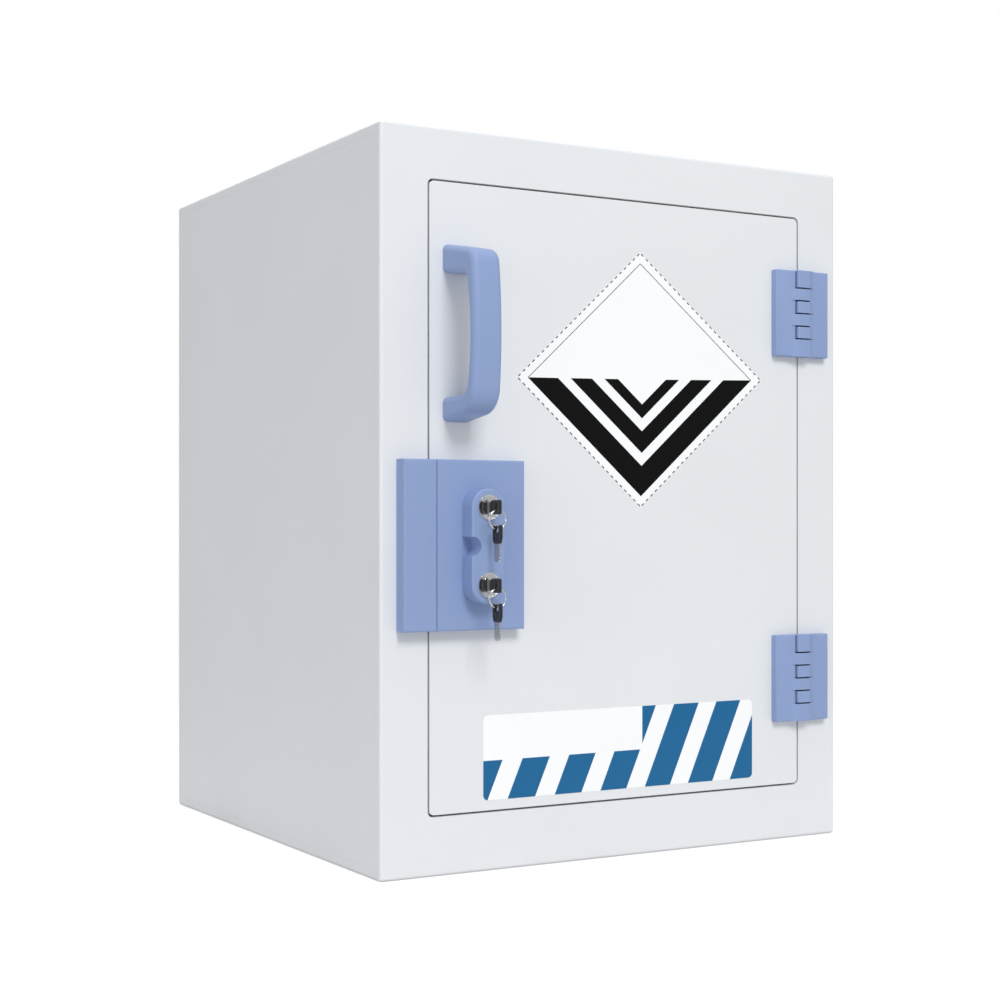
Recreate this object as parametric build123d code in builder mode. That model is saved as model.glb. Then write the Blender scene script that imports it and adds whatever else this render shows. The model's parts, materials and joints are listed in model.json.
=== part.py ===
from build123d import *
from math import cos, radians, sin
import os

os.makedirs("parts", exist_ok=True)

# Bench-top cabinet for corrosive liquids, welded from plastic sheet, with one
# hinged door, a bridge handle, two block hinges and a two-cylinder lock.
# Millimetres. X runs to the right, Y to the back, Z up. The origin is the middle
# of the underside. "Out" distances are measured forward from the front face.

# ---------------------------------------------------------------- cabinet
cabinet_width = 430.0
cabinet_depth = 430.0
cabinet_height = 560.0
sheet = 8.0                 # side, top, bottom and back sheets
front_sheet = 10.0          # sheet that holds the door opening
edge_round = 2.5            # rounding of the welded outer edges
side_border = 40.0          # front edge to the middle of the door gap
top_border = 40.0
bottom_border = 45.0
door_gap = 1.5              # slit round the door
opening_corner = 4.75       # inner corner radius of the door opening
weld_leg = 6.0              # leg of the welded bead in each inner corner
weld_inset = 2.0            # beads end this far short of their neighbours

# ---------------------------------------------------------------- door
door_outer_sheet = 8.0
door_core_thickness = 6.0
door_inner_sheet = 4.0
core_rail = 32.0            # width of the solid rail round the door's core
core_lock_stile = 88.0      # solid stile that carries the handle and the lock
inner_inset = 3.0           # step from the door's edge to its inner sheet

# rebate ring behind the front sheet
rebate_width = 24.0         # ring width outside the opening
rebate_lap = 8.0            # ledge that the door closes against
rebate_ledge = 6.0          # thickness of that ledge
door_stop_gap = 0.5         # air between the shut door and the ledge

# ---------------------------------------------------------------- fittings inside
fit_gap = 1.5               # side clearance of the loose tray and shelf
sump_height = 30.0
sump_wall = 4.0
sump_corner = 12.0
sump_rim = 5.0              # width of the rolled rim, measured inwards
shelf_level = 262.0         # underside of the shelf
shelf_sheet = 8.0
shelf_lip = 18.0            # height of the lip along the shelf's front and back
shelf_lip_wall = 4.0
shelf_front_setback = 28.0  # shelf behind the rebate ring
shelf_hole_radius = 8.0
shelf_columns = 6
shelf_rows = 5
shelf_pitch = 54.0
rail_leg = 14.0             # shelf rails are angles
rail_wall = 5.0
rail_end_gap = 16.0         # rails end this far short of the shelf's ends

# ---------------------------------------------------------------- hinges
hinge_height = 72.0
upper_hinge_drop = 121.0     # cabinet's top to the middle of the upper hinge
lower_hinge_level = 134.5
leaf_thickness = 7.0
leaf_edge_round = 1.2
door_leaf_reach = 27.5      # hinge axis to the far edge of each leaf
frame_leaf_reach = 27.4
axis_out = 7.2              # hinge axis in front of the face
knuckle_radius = 6.8
knuckle_front = 1.4         # flat front of the barrel, ahead of the axis
knuckle_slope = 4.5         # width over which it runs out on its own leaf
middle_knuckle = 10.6       # the two end knuckles share what is left
knuckle_count = 6
knuckle_gap = 1.2
knuckle_side_gap = 0.9      # barrel to the other leaf
hinge_pin_radius = 2.0
hinge_pin_fit = 0.03        # in the knuckles that hold it
hinge_running_gap = 0.07    # in the knuckles that turn on it
pin_recess = 1.0            # pin ends lie this far inside the barrel
pin_chamfer = 0.5
hinge_screw_radius = 2.0
hinge_screw_out = 5.5       # how far the screws reach into the leaves
hinge_screw_rise = 20.0     # screws above and below the hinge's middle
leaf_screw_reach = 17.6     # screws from the hinge axis

# ---------------------------------------------------------------- handle
handle_inset = 12.0         # middle of the door gap to the handle's edge
handle_width = 24.2
handle_rise = 123.5         # door's middle up to the handle's middle
handle_foot = 66.5          # half height at the door
upper_shoulder = 57.6       # half heights at the grip
lower_shoulder = 60.5
handle_out = 45.2           # grip's front at its ends
handle_bow = 4.3            # extra reach at mid length
grip_back_end = 33.8        # grip's back at its ends
grip_back_bow = 5.2
upper_leg_inner = 45.0      # half heights of the finger gap at the door
lower_leg_inner = 48.0
upper_gap_end = 40.5        # and at the grip
lower_gap_end = 47.6
upper_corner = 12.0
lower_corner = 21.0
upper_inner_corner = 3.0
lower_inner_corner = 12.0
handle_round = 4.7
handle_screw_radius = 2.5
handle_screw_out = 12.0
handle_screw_rise = 56.0

# ---------------------------------------------------------------- lock
lock_height = 127.5
lock_drop = 35.25           # door's middle down to the lock's middle
lock_out = 12.4             # thickness of keeper and lock case
keeper_width = 27.0
keeper_case_gap = 0.6       # seam between keeper and lock case
seam_inset = 0.6            # middle of the door gap to the middle of that seam
case_width = 75.1
block_round = 1.6           # moulded edges of the blue blocks
case_wall = 4.0
case_face = 3.0
case_boss_radius = 4.5
case_boss_inset = 12.0      # screw bosses from the case's edges
case_screw_radius = 2.0
case_screw_out = 8.0
keeper_screw_inset = 10.7   # from the keeper's outer edge
keeper_screw_rise = 52.0
hole_gap = 0.2              # clearance round every screw shank
screw_head_radius = 4.0
screw_head_height = 2.4
screw_head_slope = 1.0

cylinder_inset = 35.4       # seam to the cylinders' axes
cylinder_spacing = 57.8
boss_drop = 0.65            # lock's middle down to the middle of the raised block
boss_half_width = 14.0      # raised block that holds the two cylinders
boss_out = 27.9
boss_round = 1.5
notch_radius = 7.0          # half-round finger notch in the raised block
notch_depth = 7.8
flange_radius = 9.6
flange_thickness = 1.2
flange_dish = 0.5           # dished middle inside the flange's lip
flange_lip = 1.2
lip_slope = 0.4
lip_round = 0.2
barrel_radius = 8.0
barrel_fit = 0.05
barrel_back = 15.0          # back end of the wide barrel
sleeve_radius = 5.0
sleeve_back = 7.6
nut_radius = 7.5
nut_back = 7.5
plug_radius = 6.0
plug_back = 15.3
plug_tail_radius = 3.0
tail_pin_radius = 2.4
tail_overhang = 0.4         # tail beyond the crank it is riveted to
running_gap = 0.07          # plug in its housing
crank_front = 7.3
crank_back = 5.1
crank_hub_radius = 5.0
crank_throw = 6.4           # lock axis to the crank's pin
crank_pin_radius = 1.5
crank_arm_radius = 3.2
crank_pin_back = 1.2
key_turn = 90.0             # degrees from unlocked to locked, half each side of straight down

bolt_front = 4.7
bolt_back = 0.7
bolt_half_height = 10.5
bolt_nose_chamfer = 1.0
bolt_tip_setback = 0.5      # drawn-in bolt behind the case's side
bolt_tail = 7.5             # bolt beyond the crank slot's middle
crank_slot_gap = 0.45
guide_gap = 0.35
guide_thickness = 2.0
pocket_gap = 0.6            # bolt to keeper pocket, all round
pocket_extra = 1.8          # pocket deeper than the bolt's reach

# ---------------------------------------------------------------- keys
keyway_width = 2.1
keyway_height = 7.5
keyway_depth = 12.5
blade_thickness = 1.7
blade_height = 6.9
blade_in = 11.5             # blade inside the plug
blade_tip = 1.7             # cut corners of its tip
blade_neck = 1.9            # bare blade in front of the plug
bow_length = 14.0
bow_height = 10.6
bow_thickness = 3.4
bow_chamfer = 0.7           # round the edges of its broad faces
bow_corner = 1.4
bow_straight = 10.1         # parallel part of the bow, from its end
bow_slot_length = 7.2
bow_slot_width = 3.4
bow_slot_inset = 3.8        # slot's middle from the bow's end
bow_grip_ribs = 4
bow_rib_start = 1.2         # slot to the middle of the first rib
bow_rib_pitch = 1.7
bow_rib_width = 0.8
bow_rib_depth = 0.35
bow_shoulder = 7.4          # narrow end of the bow, at the blade
blade_in_bow = 6.0
ring_radius = 6.9           # middle of the wire
ring_wire = 0.6
ring_wire_sides = 8         # the wire is drawn as this many flats
ring_rest_gap = 0.6         # wire to the bow's rim at rest
spare_rest_gap = 0.5
bow_slot_chamfer = 0.6
blade_notches = 4
blade_notch = 1.0           # depth of the shallow notches
blade_notch_step = 0.25     # how much deeper every other one is
blade_notch_start = 2.4
notch_pitch = 2.3

# ---------------------------------------------------------------- derived places
front_y = -cabinet_depth / 2
face = Plane(origin=(0, front_y, 0), x_dir=(1, 0, 0), z_dir=(0, -1, 0))
inner_width = cabinet_width - 2 * sheet
carcass_front = front_y + front_sheet
carcass_back = cabinet_depth / 2 - sheet
carcass_length = carcass_back - carcass_front
carcass_middle = (carcass_back + carcass_front) / 2

gap_x = cabinet_width / 2 - side_border          # middle of the door gap
gap_top = cabinet_height - top_border
gap_bottom = bottom_border
door_level = (gap_top + gap_bottom) / 2
opening_width = 2 * gap_x + door_gap
opening_height = gap_top - gap_bottom + door_gap
door_width = 2 * gap_x - door_gap
door_height = gap_top - gap_bottom - door_gap
door_corner = opening_corner - door_gap / 2
door_thickness = door_outer_sheet + door_core_thickness + door_inner_sheet
rebate_depth = door_thickness + door_stop_gap - front_sheet
ring_back = -(front_sheet + rebate_depth + rebate_ledge)

upper_hinge_level = cabinet_height - upper_hinge_drop
hinge_levels = {"upper": upper_hinge_level, "lower": lower_hinge_level}
hinge_x = gap_x
hinge_y = front_y - axis_out
leaf_inner = knuckle_radius + knuckle_side_gap   # leaf edge from the axis

seam_x = -gap_x + seam_inset
handle_left = -gap_x + handle_inset
handle_level = door_level + handle_rise
cylinder_x = seam_x + cylinder_inset
case_left = seam_x + keeper_case_gap / 2
case_right = case_left + case_width
case_middle_x = (case_left + case_right) / 2
lock_level = door_level - lock_drop
lock_top = lock_level + lock_height / 2
lock_bottom = lock_level - lock_height / 2
boss_level = lock_level - boss_drop
keeper_right = seam_x - keeper_case_gap / 2
keeper_middle_x = keeper_right - keeper_width / 2
keeper_screw_x = keeper_right - keeper_width + keeper_screw_inset
cylinder_levels = {
    "upper": boss_level + cylinder_spacing / 2,
    "lower": boss_level - cylinder_spacing / 2,
}
plug_face = boss_out + flange_thickness - flange_dish

crank_rest = key_turn / 2                        # crank pin right of straight down
crank_side = crank_throw * sin(radians(crank_rest))
bolt_travel = 2 * crank_side
bolt_tip = case_left + bolt_tip_setback
pin_drop_end = crank_throw * cos(radians(crank_rest))


near = 0.5                  # how far from a plane an edge still counts as on it


def bore(spots, radius, back, depth):
    """Cut round holes square to the front from the part being built."""
    with BuildSketch(face.offset(back)) as holes:
        with Locations(*spots):
            Circle(radius)
    extrude(holes.sketch, amount=depth, mode=Mode.SUBTRACT)


def screws(spots, seat, reach, shank_radius):
    """Pan-head screws put in from inside: heads behind 'seat', shanks forward."""
    with BuildPart() as made:
        with BuildSketch(face.offset(seat)):
            with Locations(*spots):
                Circle(screw_head_radius)
        extrude(amount=-screw_head_height)
        chamfer(made.edges().group_by(Axis.Y)[-1], screw_head_slope)
        with BuildSketch(face.offset(seat)):
            with Locations(*spots):
                Circle(shank_radius)
        extrude(amount=reach)
    return made


def save(made, name):
    made.part.label = name
    export_step(made.part, f"parts/{name}.step")


# ---------------------------------------------------------------- carcass
for name, side in (("side_panel_left", -1), ("side_panel_right", 1)):
    with BuildPart() as side_panel:
        with BuildSketch(Plane.XY.offset(sheet)):
            with Locations((side * (cabinet_width - sheet) / 2, carcass_middle)):
                Rectangle(sheet, carcass_length)
        extrude(amount=cabinet_height - 2 * sheet)
    save(side_panel, name)

for name, level, rim in (("bottom_panel", 0.0, 0), ("top_panel", cabinet_height - sheet, -1)):
    with BuildPart() as flat_panel:
        with BuildSketch(Plane.XY.offset(level)):
            with Locations((0, carcass_middle)):
                Rectangle(cabinet_width, carcass_length)
        extrude(amount=sheet)
        outer_edges = flat_panel.edges().filter_by(Axis.Y).group_by(Axis.Z)[rim]
        fillet(outer_edges, edge_round)
    save(flat_panel, name)

with BuildPart() as back_panel:
    with BuildSketch(Plane.XZ.offset(-carcass_back)):
        with Locations((0, cabinet_height / 2)):
            Rectangle(cabinet_width, cabinet_height)
    extrude(amount=-sheet)
    fillet(back_panel.edges().filter_by(Axis.Y), edge_round)
    fillet(back_panel.faces().sort_by(Axis.Y)[-1].edges(), edge_round)
save(back_panel, "back_panel")

hinge_screw_spots = [
    (hinge_x + leaf_screw_reach, level + rise)
    for level in hinge_levels.values()
    for rise in (-hinge_screw_rise, hinge_screw_rise)
]
door_leaf_screw_spots = [(2 * hinge_x - x, z) for x, z in hinge_screw_spots]
keeper_screw_spots = [
    (keeper_screw_x, lock_level + rise)
    for rise in (-keeper_screw_rise, 0, keeper_screw_rise)
]
case_screw_spots = [
    (x, z)
    for x in (case_left + case_boss_inset, case_right - case_boss_inset)
    for z in (lock_bottom + case_boss_inset, lock_top - case_boss_inset)
]
handle_x = handle_left + handle_width / 2
handle_screw_spots = [
    (handle_x, handle_level + rise)
    for rise in (-handle_screw_rise, handle_screw_rise)
]
frame_hole = hinge_screw_radius + hole_gap

with BuildPart() as front_frame:
    with BuildSketch(face):
        with Locations((0, cabinet_height / 2)):
            Rectangle(cabinet_width, cabinet_height)
    extrude(amount=-front_sheet)
    fillet(front_frame.edges().filter_by(Axis.Y), edge_round)
    fillet(front_frame.faces().sort_by(Axis.Y)[0].edges(), edge_round)
    with BuildSketch(face):
        with Locations((0, door_level)):
            RectangleRounded(opening_width, opening_height, opening_corner)
    extrude(amount=-front_sheet, mode=Mode.SUBTRACT)
    bore(hinge_screw_spots + keeper_screw_spots, frame_hole, -front_sheet, front_sheet)
save(front_frame, "front_frame")

# The ring behind the front sheet: a deep rebate for the door, then its ledge.
with BuildPart() as rebate_ring:
    ring_width = opening_width + 2 * rebate_width
    ring_height = opening_height + 2 * rebate_width
    with BuildSketch(face.offset(ring_back)):
        with Locations((0, door_level)):
            Rectangle(ring_width, ring_height)
    extrude(amount=rebate_ledge + rebate_depth)
    with BuildSketch(face.offset(-front_sheet)):
        with Locations((0, door_level)):
            Rectangle(opening_width, opening_height)
    extrude(amount=-rebate_depth, mode=Mode.SUBTRACT)
    with BuildSketch(face.offset(ring_back)):
        with Locations((0, door_level)):
            Rectangle(opening_width - 2 * rebate_lap, opening_height - 2 * rebate_lap)
    extrude(amount=rebate_ledge, mode=Mode.SUBTRACT)
    bore(hinge_screw_spots + keeper_screw_spots, frame_hole, ring_back, rebate_ledge + rebate_depth)
save(rebate_ring, "rebate_ring")

# Welded beads in the inner corners: a right-angled section along each edge.
with BuildPart() as weld_beads:
    half_inner = inner_width / 2
    ceiling = cabinet_height - sheet
    bead_end = weld_leg + weld_inset
    for side in (-1, 1):
        for corner_y, toward in ((carcass_back, -1), (carcass_front, 1)):
            with BuildSketch(Plane.XY.offset(sheet + bead_end)):
                with BuildLine():
                    Polyline(
                        (side * half_inner, corner_y),
                        (side * (half_inner - weld_leg), corner_y),
                        (side * half_inner, corner_y + toward * weld_leg),
                        close=True,
                    )
                make_face()
            extrude(amount=cabinet_height - 2 * sheet - 2 * bead_end)
        for floor_z, toward in ((sheet, 1), (ceiling, -1)):
            with BuildSketch(Plane.XZ.offset(-(carcass_front + bead_end))):
                with BuildLine():
                    Polyline(
                        (side * half_inner, floor_z),
                        (side * (half_inner - weld_leg), floor_z),
                        (side * half_inner, floor_z + toward * weld_leg),
                        close=True,
                    )
                make_face()
            extrude(amount=-(carcass_length - 2 * bead_end))
    for corner_y, inward in ((carcass_back, -1), (carcass_front, 1)):
        for floor_z, toward in ((sheet, 1), (ceiling, -1)):
            with BuildSketch(Plane.YZ.offset(-(half_inner - bead_end))):
                with BuildLine():
                    Polyline(
                        (corner_y, floor_z),
                        (corner_y + inward * weld_leg, floor_z),
                        (corner_y, floor_z + toward * weld_leg),
                        close=True,
                    )
                make_face()
            extrude(amount=inner_width - 2 * bead_end)
save(weld_beads, "weld_beads")

# ---------------------------------------------------------------- inside fittings
room_front = front_y - ring_back
tray_inset = weld_leg + fit_gap
sump_width = inner_width - 2 * tray_inset
sump_length = carcass_back - weld_leg - fit_gap - room_front - fit_gap
sump_middle = (carcass_back - weld_leg - fit_gap + room_front + fit_gap) / 2
with BuildPart() as sump_tray:
    with BuildSketch(Plane.XY.offset(sheet)):
        with Locations((0, sump_middle)):
            RectangleRounded(sump_width, sump_length, sump_corner)
    extrude(amount=sump_height)
    with BuildSketch(Plane.XY.offset(sheet + sump_wall)):
        with Locations((0, sump_middle)):
            RectangleRounded(
                sump_width - 2 * (sump_wall + sump_rim),
                sump_length - 2 * (sump_wall + sump_rim),
                sump_corner - sump_wall,
            )
    extrude(amount=sump_height, mode=Mode.SUBTRACT)
    with BuildSketch(Plane.XY.offset(sheet + sump_wall)):
        with Locations((0, sump_middle)):
            RectangleRounded(
                sump_width - 2 * sump_wall,
                sump_length - 2 * sump_wall,
                sump_corner - sump_wall,
            )
    extrude(amount=sump_height - 2 * sump_wall, mode=Mode.SUBTRACT)
save(sump_tray, "sump_tray")

shelf_back = carcass_back - weld_leg - fit_gap
shelf_front = room_front + shelf_front_setback
shelf_width = inner_width - 2 * fit_gap
shelf_middle = (shelf_back + shelf_front) / 2
shelf_length = shelf_back - shelf_front
with BuildPart() as shelf:
    with BuildSketch(Plane.XY.offset(shelf_level)):
        with Locations((0, shelf_middle)):
            Rectangle(shelf_width, shelf_length)
        with Locations((0, shelf_middle)):
            with GridLocations(shelf_pitch, shelf_pitch, shelf_columns, shelf_rows):
                Circle(shelf_hole_radius, mode=Mode.SUBTRACT)
    extrude(amount=shelf_sheet)
    for lip_y in (shelf_front + shelf_lip_wall / 2, shelf_back - shelf_lip_wall / 2):
        with BuildSketch(Plane.XY.offset(shelf_level + shelf_sheet)):
            with Locations((0, lip_y)):
                Rectangle(shelf_width, shelf_lip_wall)
        extrude(amount=shelf_lip - shelf_sheet)
save(shelf, "shelf")

rail_length = shelf_length - 2 * rail_end_gap
with BuildPart() as shelf_rails:
    for side in (-1, 1):
        wall_x = side * inner_width / 2
        with BuildSketch(Plane.XZ.offset(-(shelf_middle - rail_length / 2))):
            with BuildLine():
                Polyline(
                    (wall_x, shelf_level),
                    (wall_x - side * rail_leg, shelf_level),
                    (wall_x - side * rail_leg, shelf_level - rail_wall),
                    (wall_x - side * rail_wall, shelf_level - rail_wall),
                    (wall_x - side * rail_wall, shelf_level - rail_leg),
                    (wall_x, shelf_level - rail_leg),
                    close=True,
                )
            make_face()
        extrude(amount=-rail_length)
save(shelf_rails, "shelf_rails")

# ---------------------------------------------------------------- door
handle_hole = handle_screw_radius + hole_gap
case_hole = case_screw_radius + hole_gap
leaf_hole = hinge_screw_radius + hole_gap
door_spot = (0, door_level)


def bore_door(back, depth):
    """The screw holes that run through every layer of the door."""
    bore(handle_screw_spots, handle_hole, back, depth)
    bore(case_screw_spots, case_hole, back, depth)
    bore(door_leaf_screw_spots, leaf_hole, back, depth)


with BuildPart() as door_panel:
    with BuildSketch(face.offset(-door_outer_sheet)):
        with Locations(door_spot):
            RectangleRounded(door_width, door_height, door_corner)
    extrude(amount=door_outer_sheet)
    bore_door(-door_outer_sheet, door_outer_sheet)
save(door_panel, "door_panel")

core_back = -(door_outer_sheet + door_core_thickness)
with BuildPart() as door_core:
    with BuildSketch(face.offset(core_back)):
        with Locations(door_spot):
            RectangleRounded(door_width, door_height, door_corner)
    extrude(amount=door_core_thickness)
    window_left = -door_width / 2 + core_lock_stile
    window_right = door_width / 2 - core_rail
    with BuildSketch(face.offset(core_back)):
        with Locations(((window_left + window_right) / 2, door_level)):
            Rectangle(window_right - window_left, door_height - 2 * core_rail)
    extrude(amount=door_core_thickness, mode=Mode.SUBTRACT)
    bore_door(core_back, door_core_thickness)
save(door_core, "door_core")

with BuildPart() as door_inner_panel:
    with BuildSketch(face.offset(-door_thickness)):
        with Locations(door_spot):
            RectangleRounded(
                door_width - 2 * inner_inset, door_height - 2 * inner_inset, door_corner
            )
    extrude(amount=door_inner_sheet)
    bore_door(-door_thickness, door_inner_sheet)
save(door_inner_panel, "door_inner_panel")

# ---------------------------------------------------------------- hinges
knuckle_end = (hinge_height - (knuckle_count - 2) * middle_knuckle) / 2


def knuckle_spans(level):
    """Bottom and top of each knuckle, counted from the top one down."""
    top = level + hinge_height / 2
    spans = []
    for number in range(knuckle_count):
        tall = knuckle_end if number in (0, knuckle_count - 1) else middle_knuckle
        lower = top - tall
        spans.append((
            lower + (knuckle_gap / 2 if number < knuckle_count - 1 else 0),
            top - (knuckle_gap / 2 if number > 0 else 0),
        ))
        top = lower
    return spans


def hinge_leaf(level, side, reach, first, pin_bore, screw_spots):
    """One leaf: side -1 is the door's, side 1 the frame's; 'first' is its top knuckle."""
    far_x = hinge_x + side * reach
    near_x = hinge_x + side * leaf_inner
    with BuildPart() as leaf:
        with BuildSketch(face):
            with Locations(((far_x + near_x) / 2, level)):
                Rectangle(abs(far_x - near_x), hinge_height)
        extrude(amount=leaf_thickness)
        front_face = leaf.faces().sort_by(Axis.Y)[0]
        outer_rim = front_face.edges().filter_by(Axis.X)
        outer_rim += front_face.edges().filter_by(Axis.Z).sort_by(Axis.X)[::side][-1:]
        fillet(outer_rim, leaf_edge_round)
        for low, high in knuckle_spans(level)[first::2]:
            with BuildSketch(Plane.XY.offset(low)):
                with Locations((hinge_x, hinge_y)):
                    Circle(knuckle_radius)
                flat_y = hinge_y - knuckle_front - knuckle_radius
                with Locations((hinge_x, flat_y)):
                    Rectangle(2 * knuckle_radius, 2 * knuckle_radius, mode=Mode.SUBTRACT)
                with Locations(((hinge_x + near_x) / 2, front_y - leaf_thickness / 2)):
                    Rectangle(leaf_inner, leaf_thickness)
                Polygon(
                    (hinge_x, hinge_y - knuckle_front),
                    (hinge_x + side * knuckle_radius, hinge_y - knuckle_front),
                    (near_x + side * knuckle_slope, front_y - leaf_thickness),
                    (hinge_x, front_y - leaf_thickness),
                    align=None,
                )
            extrude(amount=high - low)
        with BuildSketch(Plane.XY.offset(level - hinge_height / 2)):
            with Locations((hinge_x, hinge_y)):
                Circle(hinge_pin_radius + pin_bore)
        extrude(amount=hinge_height, mode=Mode.SUBTRACT)
        bore(screw_spots, hinge_screw_radius + hole_gap, 0, hinge_screw_out)
    return leaf


for place, level in hinge_levels.items():
    leaf_spots = [spot for spot in hinge_screw_spots if abs(spot[1] - level) < hinge_height / 2]
    door_spots = [(2 * hinge_x - x, z) for x, z in leaf_spots]
    frame_leaf = hinge_leaf(level, 1, frame_leaf_reach, 0, hinge_pin_fit, leaf_spots)
    save(frame_leaf, f"hinge_{place}_frame_leaf")
    door_leaf = hinge_leaf(level, -1, door_leaf_reach, 1, hinge_running_gap, door_spots)
    save(door_leaf, f"hinge_{place}_door_leaf")
    with BuildPart() as hinge_pin:
        with BuildSketch(Plane.XY.offset(level - hinge_height / 2 + pin_recess)):
            with Locations((hinge_x, hinge_y)):
                Circle(hinge_pin_radius)
        extrude(amount=hinge_height - 2 * pin_recess)
        chamfer(hinge_pin.edges().filter_by(GeomType.CIRCLE), pin_chamfer)
    save(hinge_pin, f"hinge_{place}_pin")

frame_screw_reach = hinge_screw_out - ring_back - hole_gap
frame_side_screws = screws(hinge_screw_spots, ring_back, frame_screw_reach, hinge_screw_radius)
save(frame_side_screws, "hinge_frame_screws")
door_screw_reach = hinge_screw_out + door_thickness - hole_gap
door_side_screws = screws(door_leaf_screw_spots, -door_thickness, door_screw_reach, hinge_screw_radius)
save(door_side_screws, "hinge_door_screws")

# ---------------------------------------------------------------- handle
handle_side = Plane(
    origin=(handle_left + handle_width, front_y, handle_level), x_dir=(0, -1, 0), z_dir=(-1, 0, 0)
)
with BuildPart() as handle:
    with BuildSketch(handle_side):
        with BuildLine():
            Line((0, handle_foot), (handle_out, upper_shoulder))
            ThreePointArc(
                (handle_out, upper_shoulder),
                (handle_out + handle_bow, 0),
                (handle_out, -lower_shoulder),
            )
            Polyline(
                (handle_out, -lower_shoulder),
                (0, -handle_foot),
                (0, -lower_leg_inner),
                (grip_back_end, -lower_gap_end),
            )
            ThreePointArc(
                (grip_back_end, -lower_gap_end),
                (grip_back_end + grip_back_bow, 0),
                (grip_back_end, upper_gap_end),
            )
            Polyline((grip_back_end, upper_gap_end), (0, upper_leg_inner), (0, handle_foot))
        make_face()
    extrude(amount=handle_width)
    across = handle.edges().filter_by(Axis.X)
    front_line = front_y - handle_out
    outer_corners = across.filter_by_position(Axis.Y, front_line - near, front_line + near)
    fillet(outer_corners.sort_by(Axis.Z)[-1:], upper_corner)
    fillet(outer_corners.sort_by(Axis.Z)[:1], lower_corner)
    back_line = front_y - grip_back_end
    across = handle.edges().filter_by(Axis.X)
    inner_corners = across.filter_by_position(Axis.Y, back_line - near, back_line + near)
    fillet(inner_corners.sort_by(Axis.Z)[-1:], upper_inner_corner)
    fillet(inner_corners.sort_by(Axis.Z)[:1], lower_inner_corner)
    sides = handle.faces().sort_by(Axis.X)
    rim = sides[0].edges() + sides[-1].edges()
    fillet([edge for edge in rim if edge.center().Y < front_y - near / 2], handle_round)
    bore(handle_screw_spots, handle_screw_radius + hole_gap, 0, handle_screw_out)
save(handle, "handle")
handle_reach = door_thickness + handle_screw_out - hole_gap
save(screws(handle_screw_spots, -door_thickness, handle_reach, handle_screw_radius), "handle_screws")

# ---------------------------------------------------------------- keeper
pocket_half = bolt_half_height + pocket_gap
pocket_reach = bolt_tip - bolt_travel - pocket_extra
pocket_out = bolt_front + pocket_gap
with BuildPart() as keeper:
    with BuildSketch(face):
        with Locations((keeper_middle_x, lock_level)):
            Rectangle(keeper_width, lock_height)
    extrude(amount=lock_out)
    front_rim = keeper.faces().sort_by(Axis.Y)[0].edges()
    seam_edge = front_rim.sort_by(Axis.X)[-1]
    fillet([edge for edge in front_rim if edge != seam_edge], block_round)
    for level in cylinder_levels.values():
        with BuildSketch(face):
            with Locations(((pocket_reach + keeper_right) / 2, level)):
                Rectangle(keeper_right - pocket_reach, 2 * pocket_half)
        extrude(amount=pocket_out, mode=Mode.SUBTRACT)
    bore(keeper_screw_spots, case_hole, 0, case_screw_out)
save(keeper, "keeper")
keeper_reach = case_screw_out - ring_back - hole_gap
save(screws(keeper_screw_spots, ring_back, keeper_reach, case_screw_radius), "keeper_screws")

# ---------------------------------------------------------------- lock case
guide_half = bolt_half_height + guide_gap
with BuildPart() as lock_case:
    with BuildSketch(face):
        with Locations((case_middle_x, lock_level)):
            Rectangle(case_width, lock_height)
    extrude(amount=lock_out)
    front_rim = lock_case.faces().sort_by(Axis.Y)[0].edges()
    seam_edge = front_rim.sort_by(Axis.X)[0]
    fillet([edge for edge in front_rim if edge != seam_edge], block_round)
    with BuildSketch(face):
        with Locations((case_middle_x, lock_level)):
            Rectangle(case_width - 2 * case_wall, lock_height - 2 * case_wall)
    extrude(amount=lock_out - case_face, mode=Mode.SUBTRACT)
    with BuildSketch(face):
        with Locations(*case_screw_spots):
            Circle(case_boss_radius)
    extrude(amount=lock_out - case_face)
    # guides above and below each bolt
    guide_left = case_left + case_wall
    guide_right = cylinder_x + crank_side + bolt_tail + bolt_tip_setback
    for level in cylinder_levels.values():
        for side in (-1, 1):
            with BuildSketch(face):
                with Locations((
                    (guide_left + guide_right) / 2,
                    level + side * (guide_half + guide_thickness / 2),
                )):
                    Rectangle(guide_right - guide_left, guide_thickness)
            extrude(amount=lock_out - case_face)
        # mouth that the bolt slides through
        with BuildSketch(face):
            with Locations((case_left + case_wall / 2, level)):
                Rectangle(case_wall, 2 * guide_half)
        extrude(amount=bolt_front + guide_gap, mode=Mode.SUBTRACT)
    spots = [(cylinder_x, level) for level in cylinder_levels.values()]
    bore(spots, sleeve_radius + barrel_fit, 0, lock_out)
    bore(case_screw_spots, case_hole, 0, case_screw_out)
save(lock_case, "lock_case")
case_reach = door_thickness + case_screw_out - hole_gap
save(screws(case_screw_spots, -door_thickness, case_reach, case_screw_radius), "lock_case_screws")

# Raised block with rounded ends, one round each cylinder, and a finger notch.
boss_height = cylinder_spacing + 2 * boss_half_width
notch_x = cylinder_x - boss_half_width + notch_depth - notch_radius
with BuildPart() as lock_boss:
    with BuildSketch(face.offset(lock_out)):
        with Locations((cylinder_x, boss_level)):
            SlotOverall(boss_height, 2 * boss_half_width, rotation=90)
    extrude(amount=boss_out - lock_out)
    fillet(lock_boss.faces().sort_by(Axis.Y)[0].edges(), boss_round)
    with BuildSketch(face.offset(lock_out)):
        with Locations((notch_x, boss_level)):
            Circle(notch_radius)
        with Locations((notch_x - notch_radius, boss_level)):
            Rectangle(2 * notch_radius, 2 * notch_radius)
    extrude(amount=boss_out - lock_out, mode=Mode.SUBTRACT)
    bore(spots, sleeve_radius + barrel_fit, lock_out, boss_out - lock_out)
    bore(spots, barrel_radius + barrel_fit, barrel_back, boss_out - barrel_back)
save(lock_boss, "lock_boss")


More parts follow.
